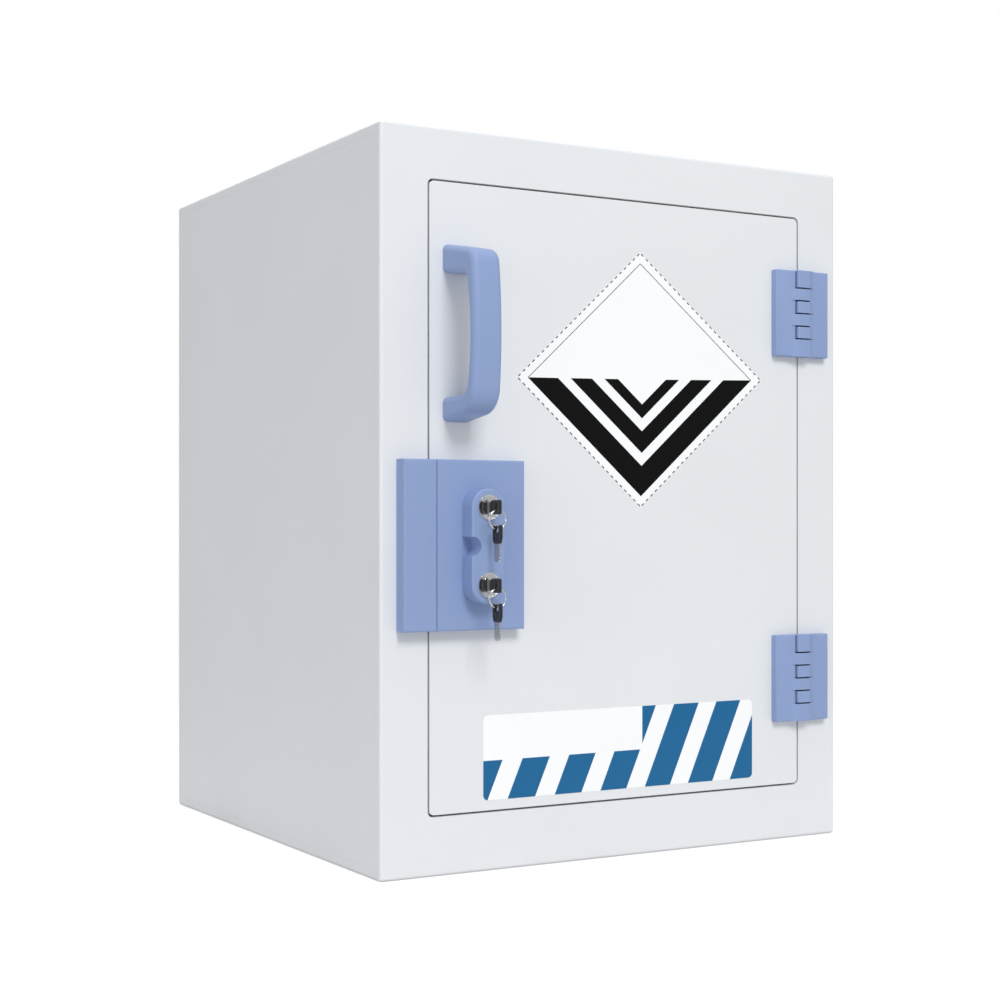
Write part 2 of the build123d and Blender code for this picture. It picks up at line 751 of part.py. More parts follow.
def lathe(points, level):
    """Turn a closed outline of (radius, out) points round one lock's axis."""
    section = Plane(
        origin=(cylinder_x, front_y, level), x_dir=(1, 0, 0), z_dir=(0, 0, 1)
    )
    with BuildPart() as turned:
        with BuildSketch(section):
            with BuildLine():
                Polyline(*[(radius, -out) for radius, out in points], close=True)
            make_face()
        revolve(axis=Axis((cylinder_x, front_y, level), (0, 1, 0)))
    return turned


def key(place, at, turn):
    """Steel blade and moulded bow; 'at' puts the bow's middle, 'turn' its plane."""
    grip = Plane(origin=at, x_dir=turn[0], z_dir=turn[1])
    half = bow_length / 2
    blade_start = half - blade_in_bow
    blade_end = half + blade_neck + blade_in
    tip_start = blade_end - blade_tip
    tip_half = blade_height / 2 - blade_tip
    with BuildPart() as blade:
        with BuildSketch(grip.offset(-blade_thickness / 2)):
            with BuildLine():
                Polyline(
                    (blade_start, -blade_height / 2),
                    (tip_start, -blade_height / 2),
                    (blade_end, -tip_half),
                    (blade_end, tip_half),
                    (tip_start, blade_height / 2),
                    (blade_start, blade_height / 2),
                    close=True,
                )
            make_face()
            for number in range(blade_notches):
                notch_at = half + blade_neck + blade_notch_start + number * notch_pitch
                notch_size = blade_notch + number % 2 * blade_notch_step
                with Locations((notch_at, -blade_height / 2)):
                    RegularPolygon(notch_size, 4, mode=Mode.SUBTRACT)
        extrude(amount=blade_thickness)
    save(blade, f"{place}_key_blade")
    taper_start = bow_straight - half
    with BuildPart() as bow:
        with BuildSketch(grip.offset(-bow_thickness / 2)):
            with BuildLine():
                Polyline(
                    (-half, -bow_height / 2),
                    (taper_start, -bow_height / 2),
                    (half, -bow_shoulder / 2),
                    (half, bow_shoulder / 2),
                    (taper_start, bow_height / 2),
                    (-half, bow_height / 2),
                    close=True,
                )
            make_face()
            fillet(vertices(), bow_corner)
        extrude(amount=bow_thickness)
        broad = bow.faces().sort_by(Axis(grip.origin, grip.z_dir))
        chamfer(broad[0].edges() + broad[-1].edges(), bow_chamfer)
        with BuildSketch(grip.offset(-bow_thickness / 2)):
            with Locations((-half + bow_slot_inset, 0)):
                SlotOverall(bow_slot_length, bow_slot_width, rotation=90)
        extrude(amount=bow_thickness, mode=Mode.SUBTRACT)
        for broad_side in (0, -1):
            broad_face = bow.faces().sort_by(Axis(grip.origin, grip.z_dir))[broad_side]
            chamfer(broad_face.inner_wires()[0].edges(), bow_slot_chamfer)
        with BuildSketch(grip.offset(-blade_thickness / 2)):
            with Locations((half - blade_in_bow / 2, 0)):
                Rectangle(blade_in_bow, blade_height)
        extrude(amount=blade_thickness, mode=Mode.SUBTRACT)
        for flat, inward in ((bow_thickness / 2, -1), (-bow_thickness / 2, 1)):
            with BuildSketch(grip.offset(flat)):
                rib_middle = -half + bow_slot_inset + bow_slot_width / 2 + bow_rib_start
                for number in range(bow_grip_ribs):
                    with Locations((rib_middle + number * bow_rib_pitch, 0)):
                        Rectangle(bow_rib_width, bow_shoulder)
            extrude(amount=inward * bow_rib_depth, mode=Mode.SUBTRACT)
    save(bow, f"{place}_key_bow")


for place, level in cylinder_levels.items():
    # chrome housing: flange, barrel and threaded sleeve with a stepped bore
    dish = boss_out + flange_thickness - flange_dish
    housing = lathe(
        [
            (plug_radius + running_gap, plug_back - running_gap),
            (plug_radius + running_gap, dish),
            (flange_radius - flange_lip, dish),
            (flange_radius - flange_lip + lip_slope, boss_out + flange_thickness),
            (flange_radius - lip_round, boss_out + flange_thickness),
            (flange_radius, boss_out + flange_thickness / 2),
            (flange_radius, boss_out),
            (barrel_radius, boss_out),
            (barrel_radius, barrel_back),
            (sleeve_radius, barrel_back),
            (sleeve_radius, sleeve_back),
            (plug_tail_radius + running_gap, sleeve_back),
            (plug_tail_radius + running_gap, plug_back - running_gap),
        ],
        level,
    )
    save(housing, f"{place}_lock_housing")
    with BuildPart() as nut:
        with BuildSketch(face.offset(nut_back)):
            with Locations((cylinder_x, level)):
                RegularPolygon(nut_radius, 6)
                Circle(sleeve_radius + barrel_fit, mode=Mode.SUBTRACT)
        extrude(amount=lock_out - case_face - nut_back)
    save(nut, f"{place}_lock_nut")
    # plug that turns in the housing, with its keyway
    tail_end = crank_back - tail_overhang
    turned_plug = lathe(
        [
            (0, plug_face),
            (plug_radius, plug_face),
            (plug_radius, plug_back),
            (plug_tail_radius, plug_back),
            (plug_tail_radius, crank_front),
            (tail_pin_radius, crank_front),
            (tail_pin_radius, tail_end),
            (0, tail_end),
        ],
        level,
    )
    with BuildPart() as plug:
        add(turned_plug.part)
        with BuildSketch(face.offset(plug_face - keyway_depth)):
            with Locations((cylinder_x, level)):
                Rectangle(keyway_width, keyway_height)
        extrude(amount=keyway_depth, mode=Mode.SUBTRACT)
    save(plug, f"{place}_plug")
    # crank on the plug's tail: hub, arm and the pin that drives the bolt
    pin_spot = (cylinder_x + crank_side, level - pin_drop_end)
    with BuildPart() as crank:
        with BuildSketch(face.offset(crank_back)):
            with Locations((cylinder_x, level)):
                Circle(crank_hub_radius)
            with Locations(pin_spot):
                Circle(crank_arm_radius)
            make_hull()
            with Locations((cylinder_x, level)):
                Circle(tail_pin_radius + barrel_fit, mode=Mode.SUBTRACT)
        extrude(amount=crank_front - crank_back)
        with BuildSketch(face.offset(crank_pin_back)):
            with Locations(pin_spot):
                Circle(crank_pin_radius)
        extrude(amount=crank_back - crank_pin_back)
    save(crank, f"{place}_crank")
    # flat bolt with the upright slot that the crank's pin runs in
    slot_high = level - pin_drop_end + crank_pin_radius + crank_slot_gap
    slot_low = level - crank_throw - crank_pin_radius - crank_slot_gap
    bolt_end = cylinder_x + crank_side + bolt_tail
    with BuildPart() as bolt:
        with BuildSketch(face.offset(bolt_back)):
            with Locations(((bolt_tip + bolt_end) / 2, level)):
                Rectangle(bolt_end - bolt_tip, 2 * bolt_half_height)
            with Locations((cylinder_x + crank_side, (slot_high + slot_low) / 2)):
                SlotOverall(
                    slot_high - slot_low, 2 * (crank_pin_radius + crank_slot_gap), rotation=90,
                    mode=Mode.SUBTRACT,
                )
        extrude(amount=bolt_front - bolt_back)
        nose = bolt.edges().filter_by(Axis.Y).group_by(Axis.X)[0]
        chamfer(nose, bolt_nose_chamfer)
    save(bolt, f"{place}_bolt")
    # key in the lock, then the ring through its bow and the spare key on the ring
    bow_y = front_y - plug_face - blade_neck - bow_length / 2
    key(place, (cylinder_x, bow_y, level), ((0, 1, 0), (1, 0, 0)))
    slot_y = bow_y - bow_length / 2 + bow_slot_inset
    rest_level = level - bow_slot_length / 2 + ring_rest_gap
    ring_level = rest_level + ring_wire - ring_radius
    with BuildPart() as ring:
        with BuildSketch(Plane.XY.offset(ring_level)):
            with Locations((cylinder_x + ring_radius, slot_y)):
                RegularPolygon(ring_wire, ring_wire_sides)
        revolve(axis=Axis((cylinder_x, slot_y, ring_level), (0, 1, 0)))
    save(ring, f"{place}_key_ring")
    hang_level = ring_level - ring_radius + ring_wire + spare_rest_gap
    end_rim = bow_slot_inset - bow_slot_width / 2
    spare_level = hang_level - (bow_length / 2 - end_rim)
    key(f"{place}_spare", (cylinder_x, slot_y, spare_level), ((0, 0, -1), (1, 0, 0)))
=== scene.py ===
# %% [markdown]
# # A bench-top cabinet for corrosive liquids
#
# The real thing is a box welded from thick white plastic sheet, because acid eats
# steel and leaves plastic alone. It has one door, a moulded blue bridge handle, two
# block hinges and a lock with two key cylinders.
#
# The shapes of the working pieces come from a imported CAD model, the frame. This
# script dresses it: it gives every piece its finish and adds the small things that
# are easier in Blender than in CAD, such as labels, screw recesses, split rings and
# soft shoulders on the hinges. All lengths are in metres, and every object stays in
# the frame's own place.

# %% Load the frame
import json
from math import cos, pi, radians, sin, tau

import bmesh
import bpy
from mathutils import Matrix, Vector


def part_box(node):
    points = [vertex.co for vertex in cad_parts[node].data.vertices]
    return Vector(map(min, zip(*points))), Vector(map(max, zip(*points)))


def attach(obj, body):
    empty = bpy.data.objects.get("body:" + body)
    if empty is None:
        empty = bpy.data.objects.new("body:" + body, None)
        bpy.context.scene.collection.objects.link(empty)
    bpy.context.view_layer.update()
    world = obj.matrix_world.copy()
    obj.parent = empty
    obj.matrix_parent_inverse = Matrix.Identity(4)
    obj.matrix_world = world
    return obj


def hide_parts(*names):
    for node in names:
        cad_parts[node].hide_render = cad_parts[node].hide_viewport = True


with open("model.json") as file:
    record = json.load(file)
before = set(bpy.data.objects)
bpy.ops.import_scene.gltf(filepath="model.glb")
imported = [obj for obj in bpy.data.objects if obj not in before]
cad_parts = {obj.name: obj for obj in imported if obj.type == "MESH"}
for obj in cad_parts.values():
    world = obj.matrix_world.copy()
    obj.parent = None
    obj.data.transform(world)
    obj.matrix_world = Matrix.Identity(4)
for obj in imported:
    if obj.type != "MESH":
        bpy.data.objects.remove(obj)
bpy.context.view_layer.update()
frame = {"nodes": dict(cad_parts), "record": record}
nodes = frame["nodes"]
node_body = {name: body for body, names in frame["record"]["behaviour"]["bodies"].items() for name in names}

# %% [markdown]
# ## Measuring the frame
#
# A new piece must sit exactly on the piece that carries it. Typing coordinates by
# hand goes wrong as soon as the model changes, so the script measures the frame
# instead: the box of one piece, or the middle of each separate solid in a piece
# that holds several, such as a set of screws.

# %% Measure boxes and separate solids
FACE_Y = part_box("door_panel")[0].y          # the front face of the cabinet
SAME_SPOT = 1e-6                            # places nearer than this count as one


def middle(node):
    """The middle of a CAD piece's box."""
    low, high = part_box(node)
    return (low + high) / 2


def solids(node):
    """The box of each separate solid in a CAD piece, as (low, high) pairs, left to right."""
    mesh = bmesh.new()
    mesh.from_mesh(nodes[node].data)
    bmesh.ops.remove_doubles(mesh, verts=mesh.verts, dist=SAME_SPOT)
    unseen = set(mesh.verts)
    boxes = []
    while unseen:
        group = [unseen.pop()]
        for vert in group:
            for edge in vert.link_edges:
                other = edge.other_vert(vert)
                if other in unseen:
                    unseen.remove(other)
                    group.append(other)
        spots = [vert.co for vert in group]
        low = Vector([min(spot[axis] for spot in spots) for axis in range(3)])
        high = Vector([max(spot[axis] for spot in spots) for axis in range(3)])
        boxes.append((low, high))
    mesh.free()
    return sorted(boxes, key=lambda pair: tuple(pair[0]))


print("front face at y =", round(FACE_Y, 4), "with", len(solids("handle_screws")), "handle screws")

# %% [markdown]
# ## Building node trees in a script
#
# Materials and Geometry Nodes are both trees of nodes. Clicking them together is the
# usual way. In a script a few short helpers do the same work: one adds a node and
# fills its inputs, and one builds a reusable group with named inputs and outputs.

# %% Helpers for node trees
def add_node(tree, kind, settings=None, **inputs):
    """Add a node; 'settings' are its own options, the rest are inputs, linked or set."""
    node = tree.nodes.new(kind)
    for option, value in (settings or {}).items():
        setattr(node, option, value)
    for name, value in inputs.items():
        label = name.replace("_", " ")
        socket = node.inputs[int(name[1:])] if name[0] == "i" and name[1:].isdigit() else node.inputs[label]
        if isinstance(value, bpy.types.NodeSocket):
            tree.links.new(value, socket)
        else:
            socket.default_value = value
    return node


def calc(tree, operation, first, second=0.0, third=0.0, clamp=False):
    """One Math node; returns its result."""
    options = {"operation": operation, "use_clamp": clamp}
    return add_node(tree, "ShaderNodeMath", options, i0=first, i1=second, i2=third).outputs[0]


def map_range(tree, value, low, high, at_low=0.0, at_high=1.0, curve="LINEAR"):
    """One Map Range node, that turns 'low' into 'at_low' and 'high' into 'at_high'."""
    options = {"interpolation_type": curve}
    node = add_node(tree, "ShaderNodeMapRange", options, i0=value, i1=low, i2=high, i3=at_low, i4=at_high)
    return node.outputs[0]


def new_group(name, kind, inputs, outputs):
    """An empty node group with named sockets; returns the tree, its inputs and its output node."""
    tree = bpy.data.node_groups.new(name, kind)
    for label, (socket, value) in inputs.items():
        made = tree.interface.new_socket(label, in_out="INPUT", socket_type=socket)
        if value is not None:
            made.default_value = value
    for label, socket in outputs.items():
        tree.interface.new_socket(label, in_out="OUTPUT", socket_type=socket)
    given = tree.nodes.new("NodeGroupInput")
    result = tree.nodes.new("NodeGroupOutput")
    return tree, given.outputs, result


def place_group(tree, group, **inputs):
    """Put a shared group in a material and set or link its named inputs."""
    return add_node(tree, "ShaderNodeGroup", {"node_tree": group}, **inputs).outputs


print("helpers ready")

# %% [markdown]
# ## Shared finishes: grain
#
# No moulded or extruded plastic is perfectly flat. Polypropylene sheet leaves the
# press with a faint satin grain and a slow waviness that bends reflections a little.
# Two noises of very different size, mixed as heights, give both. Because several
# plastics need this, it is one node group with named inputs, and each material sets
# its own sizes. It reads Object coordinates, so it doesn't move with the camera.

# %% Group: grain of pressed and moulded plastic
FLOAT = "NodeSocketFloat"
VECTOR = "NodeSocketVector"
BEVEL_QUALITY = {"samples": 6}
grain_group, given, result = new_group(
    "plastic grain", "ShaderNodeTree",
    {"Grain size": (FLOAT, 0.0004), "Wave size": (FLOAT, 0.09), "Grain depth": (FLOAT, 0.00001),
     "Wave depth": (FLOAT, 0.00004), "Edge round": (FLOAT, 0.0008)},
    {"Normal": VECTOR, "Mottle": FLOAT},
)
place = add_node(grain_group, "ShaderNodeTexCoord").outputs["Object"]
fine = add_node(
    grain_group, "ShaderNodeTexNoise", Vector=place, Detail=3.0, Roughness=0.6,
    Scale=calc(grain_group, "DIVIDE", 1.0, given["Grain size"]),
)
slow = add_node(
    grain_group, "ShaderNodeTexNoise", Vector=place, Detail=1.0, Roughness=0.4,
    Scale=calc(grain_group, "DIVIDE", 1.0, given["Wave size"]),
)
rounded = add_node(grain_group, "ShaderNodeBevel", BEVEL_QUALITY, Radius=given["Edge round"])
waves = add_node(
    grain_group, "ShaderNodeBump", Strength=1.0, Distance=given["Wave depth"],
    Height=slow.outputs[0], Normal=rounded.outputs[0],
)
ripples = add_node(
    grain_group, "ShaderNodeBump", Strength=1.0, Distance=given["Grain depth"],
    Height=fine.outputs[0], Normal=waves.outputs[0],
)
grain_group.links.new(ripples.outputs[0], result.inputs["Normal"])
grain_group.links.new(slow.outputs[0], result.inputs["Mottle"])
print(grain_group.name, "has", len(grain_group.nodes), "nodes")

# %% [markdown]
# ## Shared finishes: painted edge highlights
#
# The outer edges of the plastics get a painted highlight: their colour is lightened
# where a rounded edge would catch the light. A Bevel node gives the normal that a
# rounded edge would have. Where it differs from the true normal there is an edge, so
# one minus their dot product is an edge mask, and a noise breaks it up so that the
# painted highlight isn't even.

# %% Group: mask of painted edge highlights
EDGE_GAIN = 4.0            # lifts the mask, since a rounded edge turns its normal only a little
# a mask for the painted highlight on the edges of plastics
edge_highlight_group, given, result = new_group(
    "painted edge highlight", "ShaderNodeTree",
    {"Reach": (FLOAT, 0.0015), "Patch size": (FLOAT, 0.02), "Amount": (FLOAT, 1.0)},
    {"Mask": FLOAT},
)
place = add_node(edge_highlight_group, "ShaderNodeTexCoord").outputs["Object"]
wide = add_node(edge_highlight_group, "ShaderNodeBevel", BEVEL_QUALITY, Radius=given["Reach"])
true_normal = add_node(edge_highlight_group, "ShaderNodeNewGeometry").outputs["True Normal"]
agree = add_node(
    edge_highlight_group, "ShaderNodeVectorMath", {"operation": "DOT_PRODUCT"}, i0=wide.outputs[0], i1=true_normal
)
edge = calc(edge_highlight_group, "SUBTRACT", 1.0, agree.outputs["Value"], clamp=True)
edge = calc(edge_highlight_group, "MULTIPLY", edge, EDGE_GAIN, clamp=True)
patches = add_node(
    edge_highlight_group, "ShaderNodeTexNoise", Vector=place, Detail=4.0, Roughness=0.6,
    Scale=calc(edge_highlight_group, "DIVIDE", 1.0, given["Patch size"]),
)
broken = calc(edge_highlight_group, "MULTIPLY", edge, patches.outputs[0])
masked = calc(edge_highlight_group, "MULTIPLY", broken, given["Amount"], clamp=True)
edge_highlight_group.links.new(masked, result.inputs["Mask"])
print(edge_highlight_group.name, "has", len(edge_highlight_group.nodes), "nodes")

# %% [markdown]
# ## Shared finishes: smudges
#
# A cabinet that is wiped every day still holds faint smears, which show only in how
# sharply it reflects. This group turns two noises into a soft value between 0 and 1
# that a material may add to its roughness and take, very slightly, from its colour.

# %% Group: smears left by wiping
SMEAR_LOW, SMEAR_HIGH = 0.35, 0.7     # noise values that count as clean and as smeared
smear_group, given, result = new_group(
    "wiping smears", "ShaderNodeTree",
    {"Smear size": (FLOAT, 0.05), "Stretch": (FLOAT, 3.0), "Contrast": (FLOAT, 1.0)},
    {"Value": FLOAT},
)
place = add_node(smear_group, "ShaderNodeTexCoord").outputs["Object"]
stretch = add_node(smear_group, "ShaderNodeCombineXYZ", X=1.0, Y=1.0, Z=given["Stretch"])
drawn_out = add_node(
    smear_group, "ShaderNodeVectorMath", {"operation": "MULTIPLY"}, i0=place, i1=stretch.outputs[0]
)
smear = add_node(
    smear_group, "ShaderNodeTexNoise", Vector=drawn_out.outputs[0], Detail=5.0, Roughness=0.62,
    Distortion=0.6, Scale=calc(smear_group, "DIVIDE", 1.0, given["Smear size"]),
)
spread = map_range(smear_group, smear.outputs[0], SMEAR_LOW, SMEAR_HIGH)
scaled = calc(smear_group, "MULTIPLY", spread, given["Contrast"], clamp=True)
smear_group.links.new(scaled, result.inputs["Value"])
print(smear_group.name, "has", len(smear_group.nodes), "nodes")

# %% [markdown]
# ## The plastics
#
# One function makes any of the cabinet's plastics: a Principled BSDF whose colour
# comes from a base, darkened a touch by the mottle and lightened on its edges by a
# painted highlight, and whose roughness moves with the smears. What is the same all
# over, such as the specular level, is set on the shader itself.

# %% Plastics
def blend_colors(tree, factor, first, second):
    """Mix two colours by a factor; returns the colour."""
    mixer = tree.nodes.new("ShaderNodeMix")
    mixer.data_type = "RGBA"
    for index, value in ((0, factor), (6, first), (7, second)):
        if isinstance(value, bpy.types.NodeSocket):
            tree.links.new(value, mixer.inputs[index])
        else:
            mixer.inputs[index].default_value = value
    return mixer.outputs[2]


def rgba(color):
    """A colour with its alpha, as a colour socket takes it."""
    return (*color, 1.0)


def dulled(color, share):
    """A colour at a share of its brightness."""
    return [channel * share for channel in color]


def new_material(name):
    """A material whose tree holds one Principled BSDF; returns the material, its tree and that node."""
    material = bpy.data.materials.new(name)
    material.use_nodes = True
    tree = material.node_tree
    tree.nodes.clear()
    shader = tree.nodes.new("ShaderNodeBsdfPrincipled")
    output = tree.nodes.new("ShaderNodeOutputMaterial")
    tree.links.new(shader.outputs[0], output.inputs[0])
    return material, tree, shader


def plastic(name, color, edge_highlight_color, rough, grain, depth, wave, edge_round, highlight_share=1.0, specular=0.5):
    """A plastic: 'color' as its base, lightened on its edges towards a painted highlight colour; 'depth' is
    its grain's; sizes in metres.
    """
    material, tree, shader = new_material(name)
    surface = place_group(
        tree, grain_group, Grain_size=grain, Wave_size=0.09, Grain_depth=depth, Wave_depth=wave,
        Edge_round=edge_round,
    )
    edges = place_group(tree, edge_highlight_group, Reach=2.5 * edge_round, Patch_size=0.02, Amount=highlight_share)["Mask"]
    smears = place_group(tree, smear_group, Smear_size=0.06, Stretch=2.5, Contrast=1.0)["Value"]
    tone = blend_colors(tree, surface["Mottle"], rgba(dulled(color, 0.955)), rgba(color))
    # lighten the edges towards the colour of their painted highlight
    tree.links.new(blend_colors(tree, edges, tone, rgba(edge_highlight_color)), shader.inputs["Base Color"])
    tree.links.new(calc(tree, "MULTIPLY_ADD", smears, 0.06, rough), shader.inputs["Roughness"])
    tree.links.new(surface["Normal"], shader.inputs["Normal"])
    shader.inputs["Specular IOR Level"].default_value = specular
    return material


# each plastic's second colour is the painted highlight on its edges, and the share near the end sets how
# strong that highlight is
white_sheet = plastic(
    "white sheet", color=(0.81, 0.82, 0.835), edge_highlight_color=(0.88, 0.89, 0.90), rough=0.36,
    grain=0.0009, depth=3e-6, wave=6e-5, edge_round=0.0006, highlight_share=0.5,
)
blue_moulding = plastic(
    "blue moulding", color=(0.27, 0.36, 0.60), edge_highlight_color=(0.40, 0.47, 0.72), rough=0.42,
    grain=0.0005, depth=5e-6, wave=2e-5, edge_round=0.0007, highlight_share=0.7, specular=0.35,
)
black_moulding = plastic(
    "black moulding", color=(0.012, 0.012, 0.014), edge_highlight_color=(0.05, 0.05, 0.055), rough=0.34,
    grain=0.0004, depth=6e-6, wave=1e-5, edge_round=0.0003,
)
weld_plastic = plastic(
    "weld bead", color=(0.78, 0.80, 0.82), edge_highlight_color=(0.85, 0.86, 0.87), rough=0.5,
    grain=0.0025, depth=1e-4, wave=1e-4, edge_round=0.0006, highlight_share=0.3,
)
print("plastics ready")

# %% [markdown]
# ## The metals
#
# The lock faces and key rings are chrome plated, the lock bolts and key blades are
# bare steel, and the screws, nuts and cranks are zinc plated. All are fully metallic;
# the difference is in colour, roughness and the fine marks. Milled steel has scratches
# along one direction, so its noise is squeezed across them. The same noise serves as
# a bump and in the roughness.

# %% Metals
METAL_ROUND = 0.0002       # radius of a metal edge


def metal(name, color, rough, scratch, depth, squeeze=(1, 1, 1)):
    """A metal with fine scratches; 'scratch' is their width and 'depth' their depth in metres."""
    material, tree, shader = new_material(name)
    place = add_node(tree, "ShaderNodeTexCoord").outputs["Object"]
    laid = add_node(tree, "ShaderNodeMapping", Vector=place, Scale=squeeze)
    marks = add_node(tree, "ShaderNodeTexNoise", Vector=laid.outputs[0], Scale=1 / scratch, Detail=4.0)
    rounded = add_node(tree, "ShaderNodeBevel", BEVEL_QUALITY, Radius=METAL_ROUND)
    bump = add_node(
        tree, "ShaderNodeBump", Strength=0.6, Distance=depth, Height=marks.outputs[0],
        Normal=rounded.outputs[0],
    )
    smears = place_group(tree, smear_group, Smear_size=0.012, Stretch=1.0, Contrast=1.0)["Value"]
    tone = blend_colors(tree, smears, rgba(color), rgba(dulled(color, 0.86)))
    tree.links.new(tone, shader.inputs["Base Color"])
    wiped = calc(tree, "MULTIPLY_ADD", smears, 0.08, rough)
    scratched = calc(tree, "MULTIPLY", marks.outputs[0], 0.12)
    tree.links.new(calc(tree, "ADD", wiped, scratched), shader.inputs["Roughness"])
    tree.links.new(bump.outputs[0], shader.inputs["Normal"])
    shader.inputs["Metallic"].default_value = 1.0
    return material


chrome = metal("bright chrome", (0.80, 0.80, 0.80), rough=0.04, scratch=0.0006, depth=1e-6)
steel = metal(
    "machined steel", (0.56, 0.56, 0.57), rough=0.22, scratch=0.0003, depth=4e-6, squeeze=(1, 1, 12)
)
zinc = metal("zinc plated steel", (0.62, 0.63, 0.60), rough=0.26, scratch=0.0008, depth=4e-6)
print("metals ready")

# %% [markdown]
# ## Giving each CAD piece its finish
#
# Every CAD piece arrives with a plain colour in its material slots. Its shape is
# right and stays as it is: only the slot's material changes. The rules below go from
# the general to the particular, and the last one that fits a name wins.

# %% Finishes of the CAD pieces
finishes = [
    ("", white_sheet), ("weld_beads", weld_plastic), ("_leaf", blue_moulding), ("handle", blue_moulding),
    ("keeper", blue_moulding), ("lock_case", blue_moulding), ("lock_boss", blue_moulding),
    ("_pin", black_moulding), ("_screws", zinc), ("_housing", chrome), ("_plug", chrome), ("_nut", zinc),
    ("_crank", zinc), ("_bolt", steel), ("_blade", steel), ("_bow", black_moulding), ("_ring", chrome),
    ("rebate_ring", white_sheet),
]
for name, piece in nodes.items():
    finish = [material for part, material in finishes if part in name][-1]
    for spot in piece.material_slots:
        spot.material = finish
print("finishes:", sorted({material.name for part, material in finishes}))

# %% [markdown]
# ## Printed labels
#
# Labels are cut from white vinyl film and printed. The stripe label is one flat
# piece with round corners, and its print is a pattern worked out by nodes: slanted
# stripes come from the fraction part of a slanted distance, and the bare panel in
# the corner from the signed distance to a rounded box. A pattern made of maths stays
# sharp however near the camera comes, and needs no picture.

# %% Outline of a rounded rectangle
LABEL_THICKNESS = 0.00018


def rounded_outline(width, height, corner, steps=8):
    """Points round a rectangle with round corners, centred on zero, counter-clockwise."""
    points = []
    for turn, (side_x, side_z) in enumerate(((1, 1), (-1, 1), (-1, -1), (1, -1))):
        hub_x, hub_z = side_x * (width / 2 - corner), side_z * (height / 2 - corner)
        for step in range(steps + 1):
            angle = (turn + step / steps) * pi / 2
            points.append((hub_x + corner * cos(angle), hub_z + corner * sin(angle)))
    return points


def add_object(name, data):
    """Put mesh, camera or light data in the scene as an object."""
    made = bpy.data.objects.new(name, data)
    bpy.context.scene.collection.objects.link(made)
    return made


def mesh_data(name, mesh):
    """Turn a bmesh into mesh data with its faces outwards, and free it."""
    bmesh.ops.recalc_face_normals(mesh, faces=mesh.faces)
    data = bpy.data.meshes.new(name)
    mesh.to_mesh(data)
    mesh.free()
    return data


def shade(data, sharp_from):
    """Smooth shading, except over edges that turn by more than 'sharp_from' degrees."""
    data.shade_smooth()
    data.set_sharp_from_angle(angle=radians(sharp_from))


def finish_piece(mesh, name, materials, body, smooth=True):
    """Turn a bmesh into an object that rides on a CAD body."""
    data = mesh_data(name, mesh)
    for material in materials:
        data.materials.append(material)
    if smooth:
        shade(data, 35)
    piece = add_object(name, data)
    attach(piece, body)
    return piece


def film(mesh, points, material_index=0, back=0.0, front=LABEL_THICKNESS):
    """Add a flat film to a bmesh: its outline in x and z, 'back' and 'front' measured out from the door."""
    fore = [mesh.verts.new((x, FACE_Y - front, z)) for x, z in points]
    rear = [mesh.verts.new((x, FACE_Y - back, z)) for x, z in points]
    faces = [mesh.faces.new(fore), mesh.faces.new(rear[::-1])]
    for index in range(len(points)):
        after = (index + 1) % len(points)
        faces.append(mesh.faces.new((fore[index], rear[index], rear[after], fore[after])))
    for made in faces:
        made.material_index = material_index


print("a rounded outline has", len(rounded_outline(1, 1, 0.1)), "points")

# %% Print of the stripe label
STRIPE_LABEL = {"middle": (-0.0006, 0.0857), "size": (0.2552, 0.0645), "corner": 0.004}
STRIPE_PITCH = 0.0422
STRIPE_WIDTH = 0.0245
STRIPE_LEAN = 0.443                # sideways run for each metre of height
FIRST_STRIPE = -0.107              # where a stripe's left edge meets the label's foot
PANEL_EDGE = (0.0172, 0.0835)      # right and lower edge of the bare panel
PANEL_CORNER = 0.003
STRIPE_BLUE = (0.002, 0.125, 0.30)
FILM_WHITE = (0.98, 0.98, 0.98)


def vinyl(name, color, rough=0.3, specular=0.4):
    """Printed film: a little glossier than the sheet under it, with a faint orange peel."""
    material, tree, shader = new_material(name)
    surface = place_group(
        tree, grain_group, Grain_size=0.0012, Wave_size=0.04, Grain_depth=2e-6, Wave_depth=2e-5,
        Edge_round=0.0001,
    )
    smears = place_group(tree, smear_group, Smear_size=0.05, Stretch=1.0, Contrast=1.0)["Value"]
    tree.links.new(calc(tree, "MULTIPLY_ADD", smears, 0.05, rough), shader.inputs["Roughness"])
    tree.links.new(surface["Normal"], shader.inputs["Normal"])
    shader.inputs["Specular IOR Level"].default_value = specular
    tone = blend_colors(tree, surface["Mottle"], rgba(dulled(color, 0.97)), rgba(color))
    tree.links.new(tone, shader.inputs["Base Color"])
    return material, tree, shader, tone


striped_film, tree, shader, paper = vinyl("striped film", FILM_WHITE)
spot = add_node(tree, "ShaderNodeSeparateXYZ", Vector=add_node(tree, "ShaderNodeTexCoord").outputs["Object"])
label_foot = STRIPE_LABEL["middle"][1] - STRIPE_LABEL["size"][1] / 2
climb = calc(tree, "SUBTRACT", spot.outputs["Z"], label_foot)
slant = calc(tree, "SUBTRACT", spot.outputs["X"], calc(tree, "MULTIPLY", climb, STRIPE_LEAN))
counted = calc(tree, "DIVIDE", calc(tree, "SUBTRACT", slant, FIRST_STRIPE), STRIPE_PITCH)
within = calc(tree, "FLOORED_MODULO", counted, 1.0)
striped = calc(tree, "LESS_THAN", within, STRIPE_WIDTH / STRIPE_PITCH)
over_x = calc(tree, "SUBTRACT", spot.outputs["X"], PANEL_EDGE[0] - PANEL_CORNER)
under_z = calc(tree, "SUBTRACT", PANEL_EDGE[1] + PANEL_CORNER, spot.outputs["Z"])
out_x = calc(tree, "MAXIMUM", over_x, 0.0)
out_z = calc(tree, "MAXIMUM", under_z, 0.0)
squares = [calc(tree, "POWER", length, 2.0) for length in (out_x, out_z)]
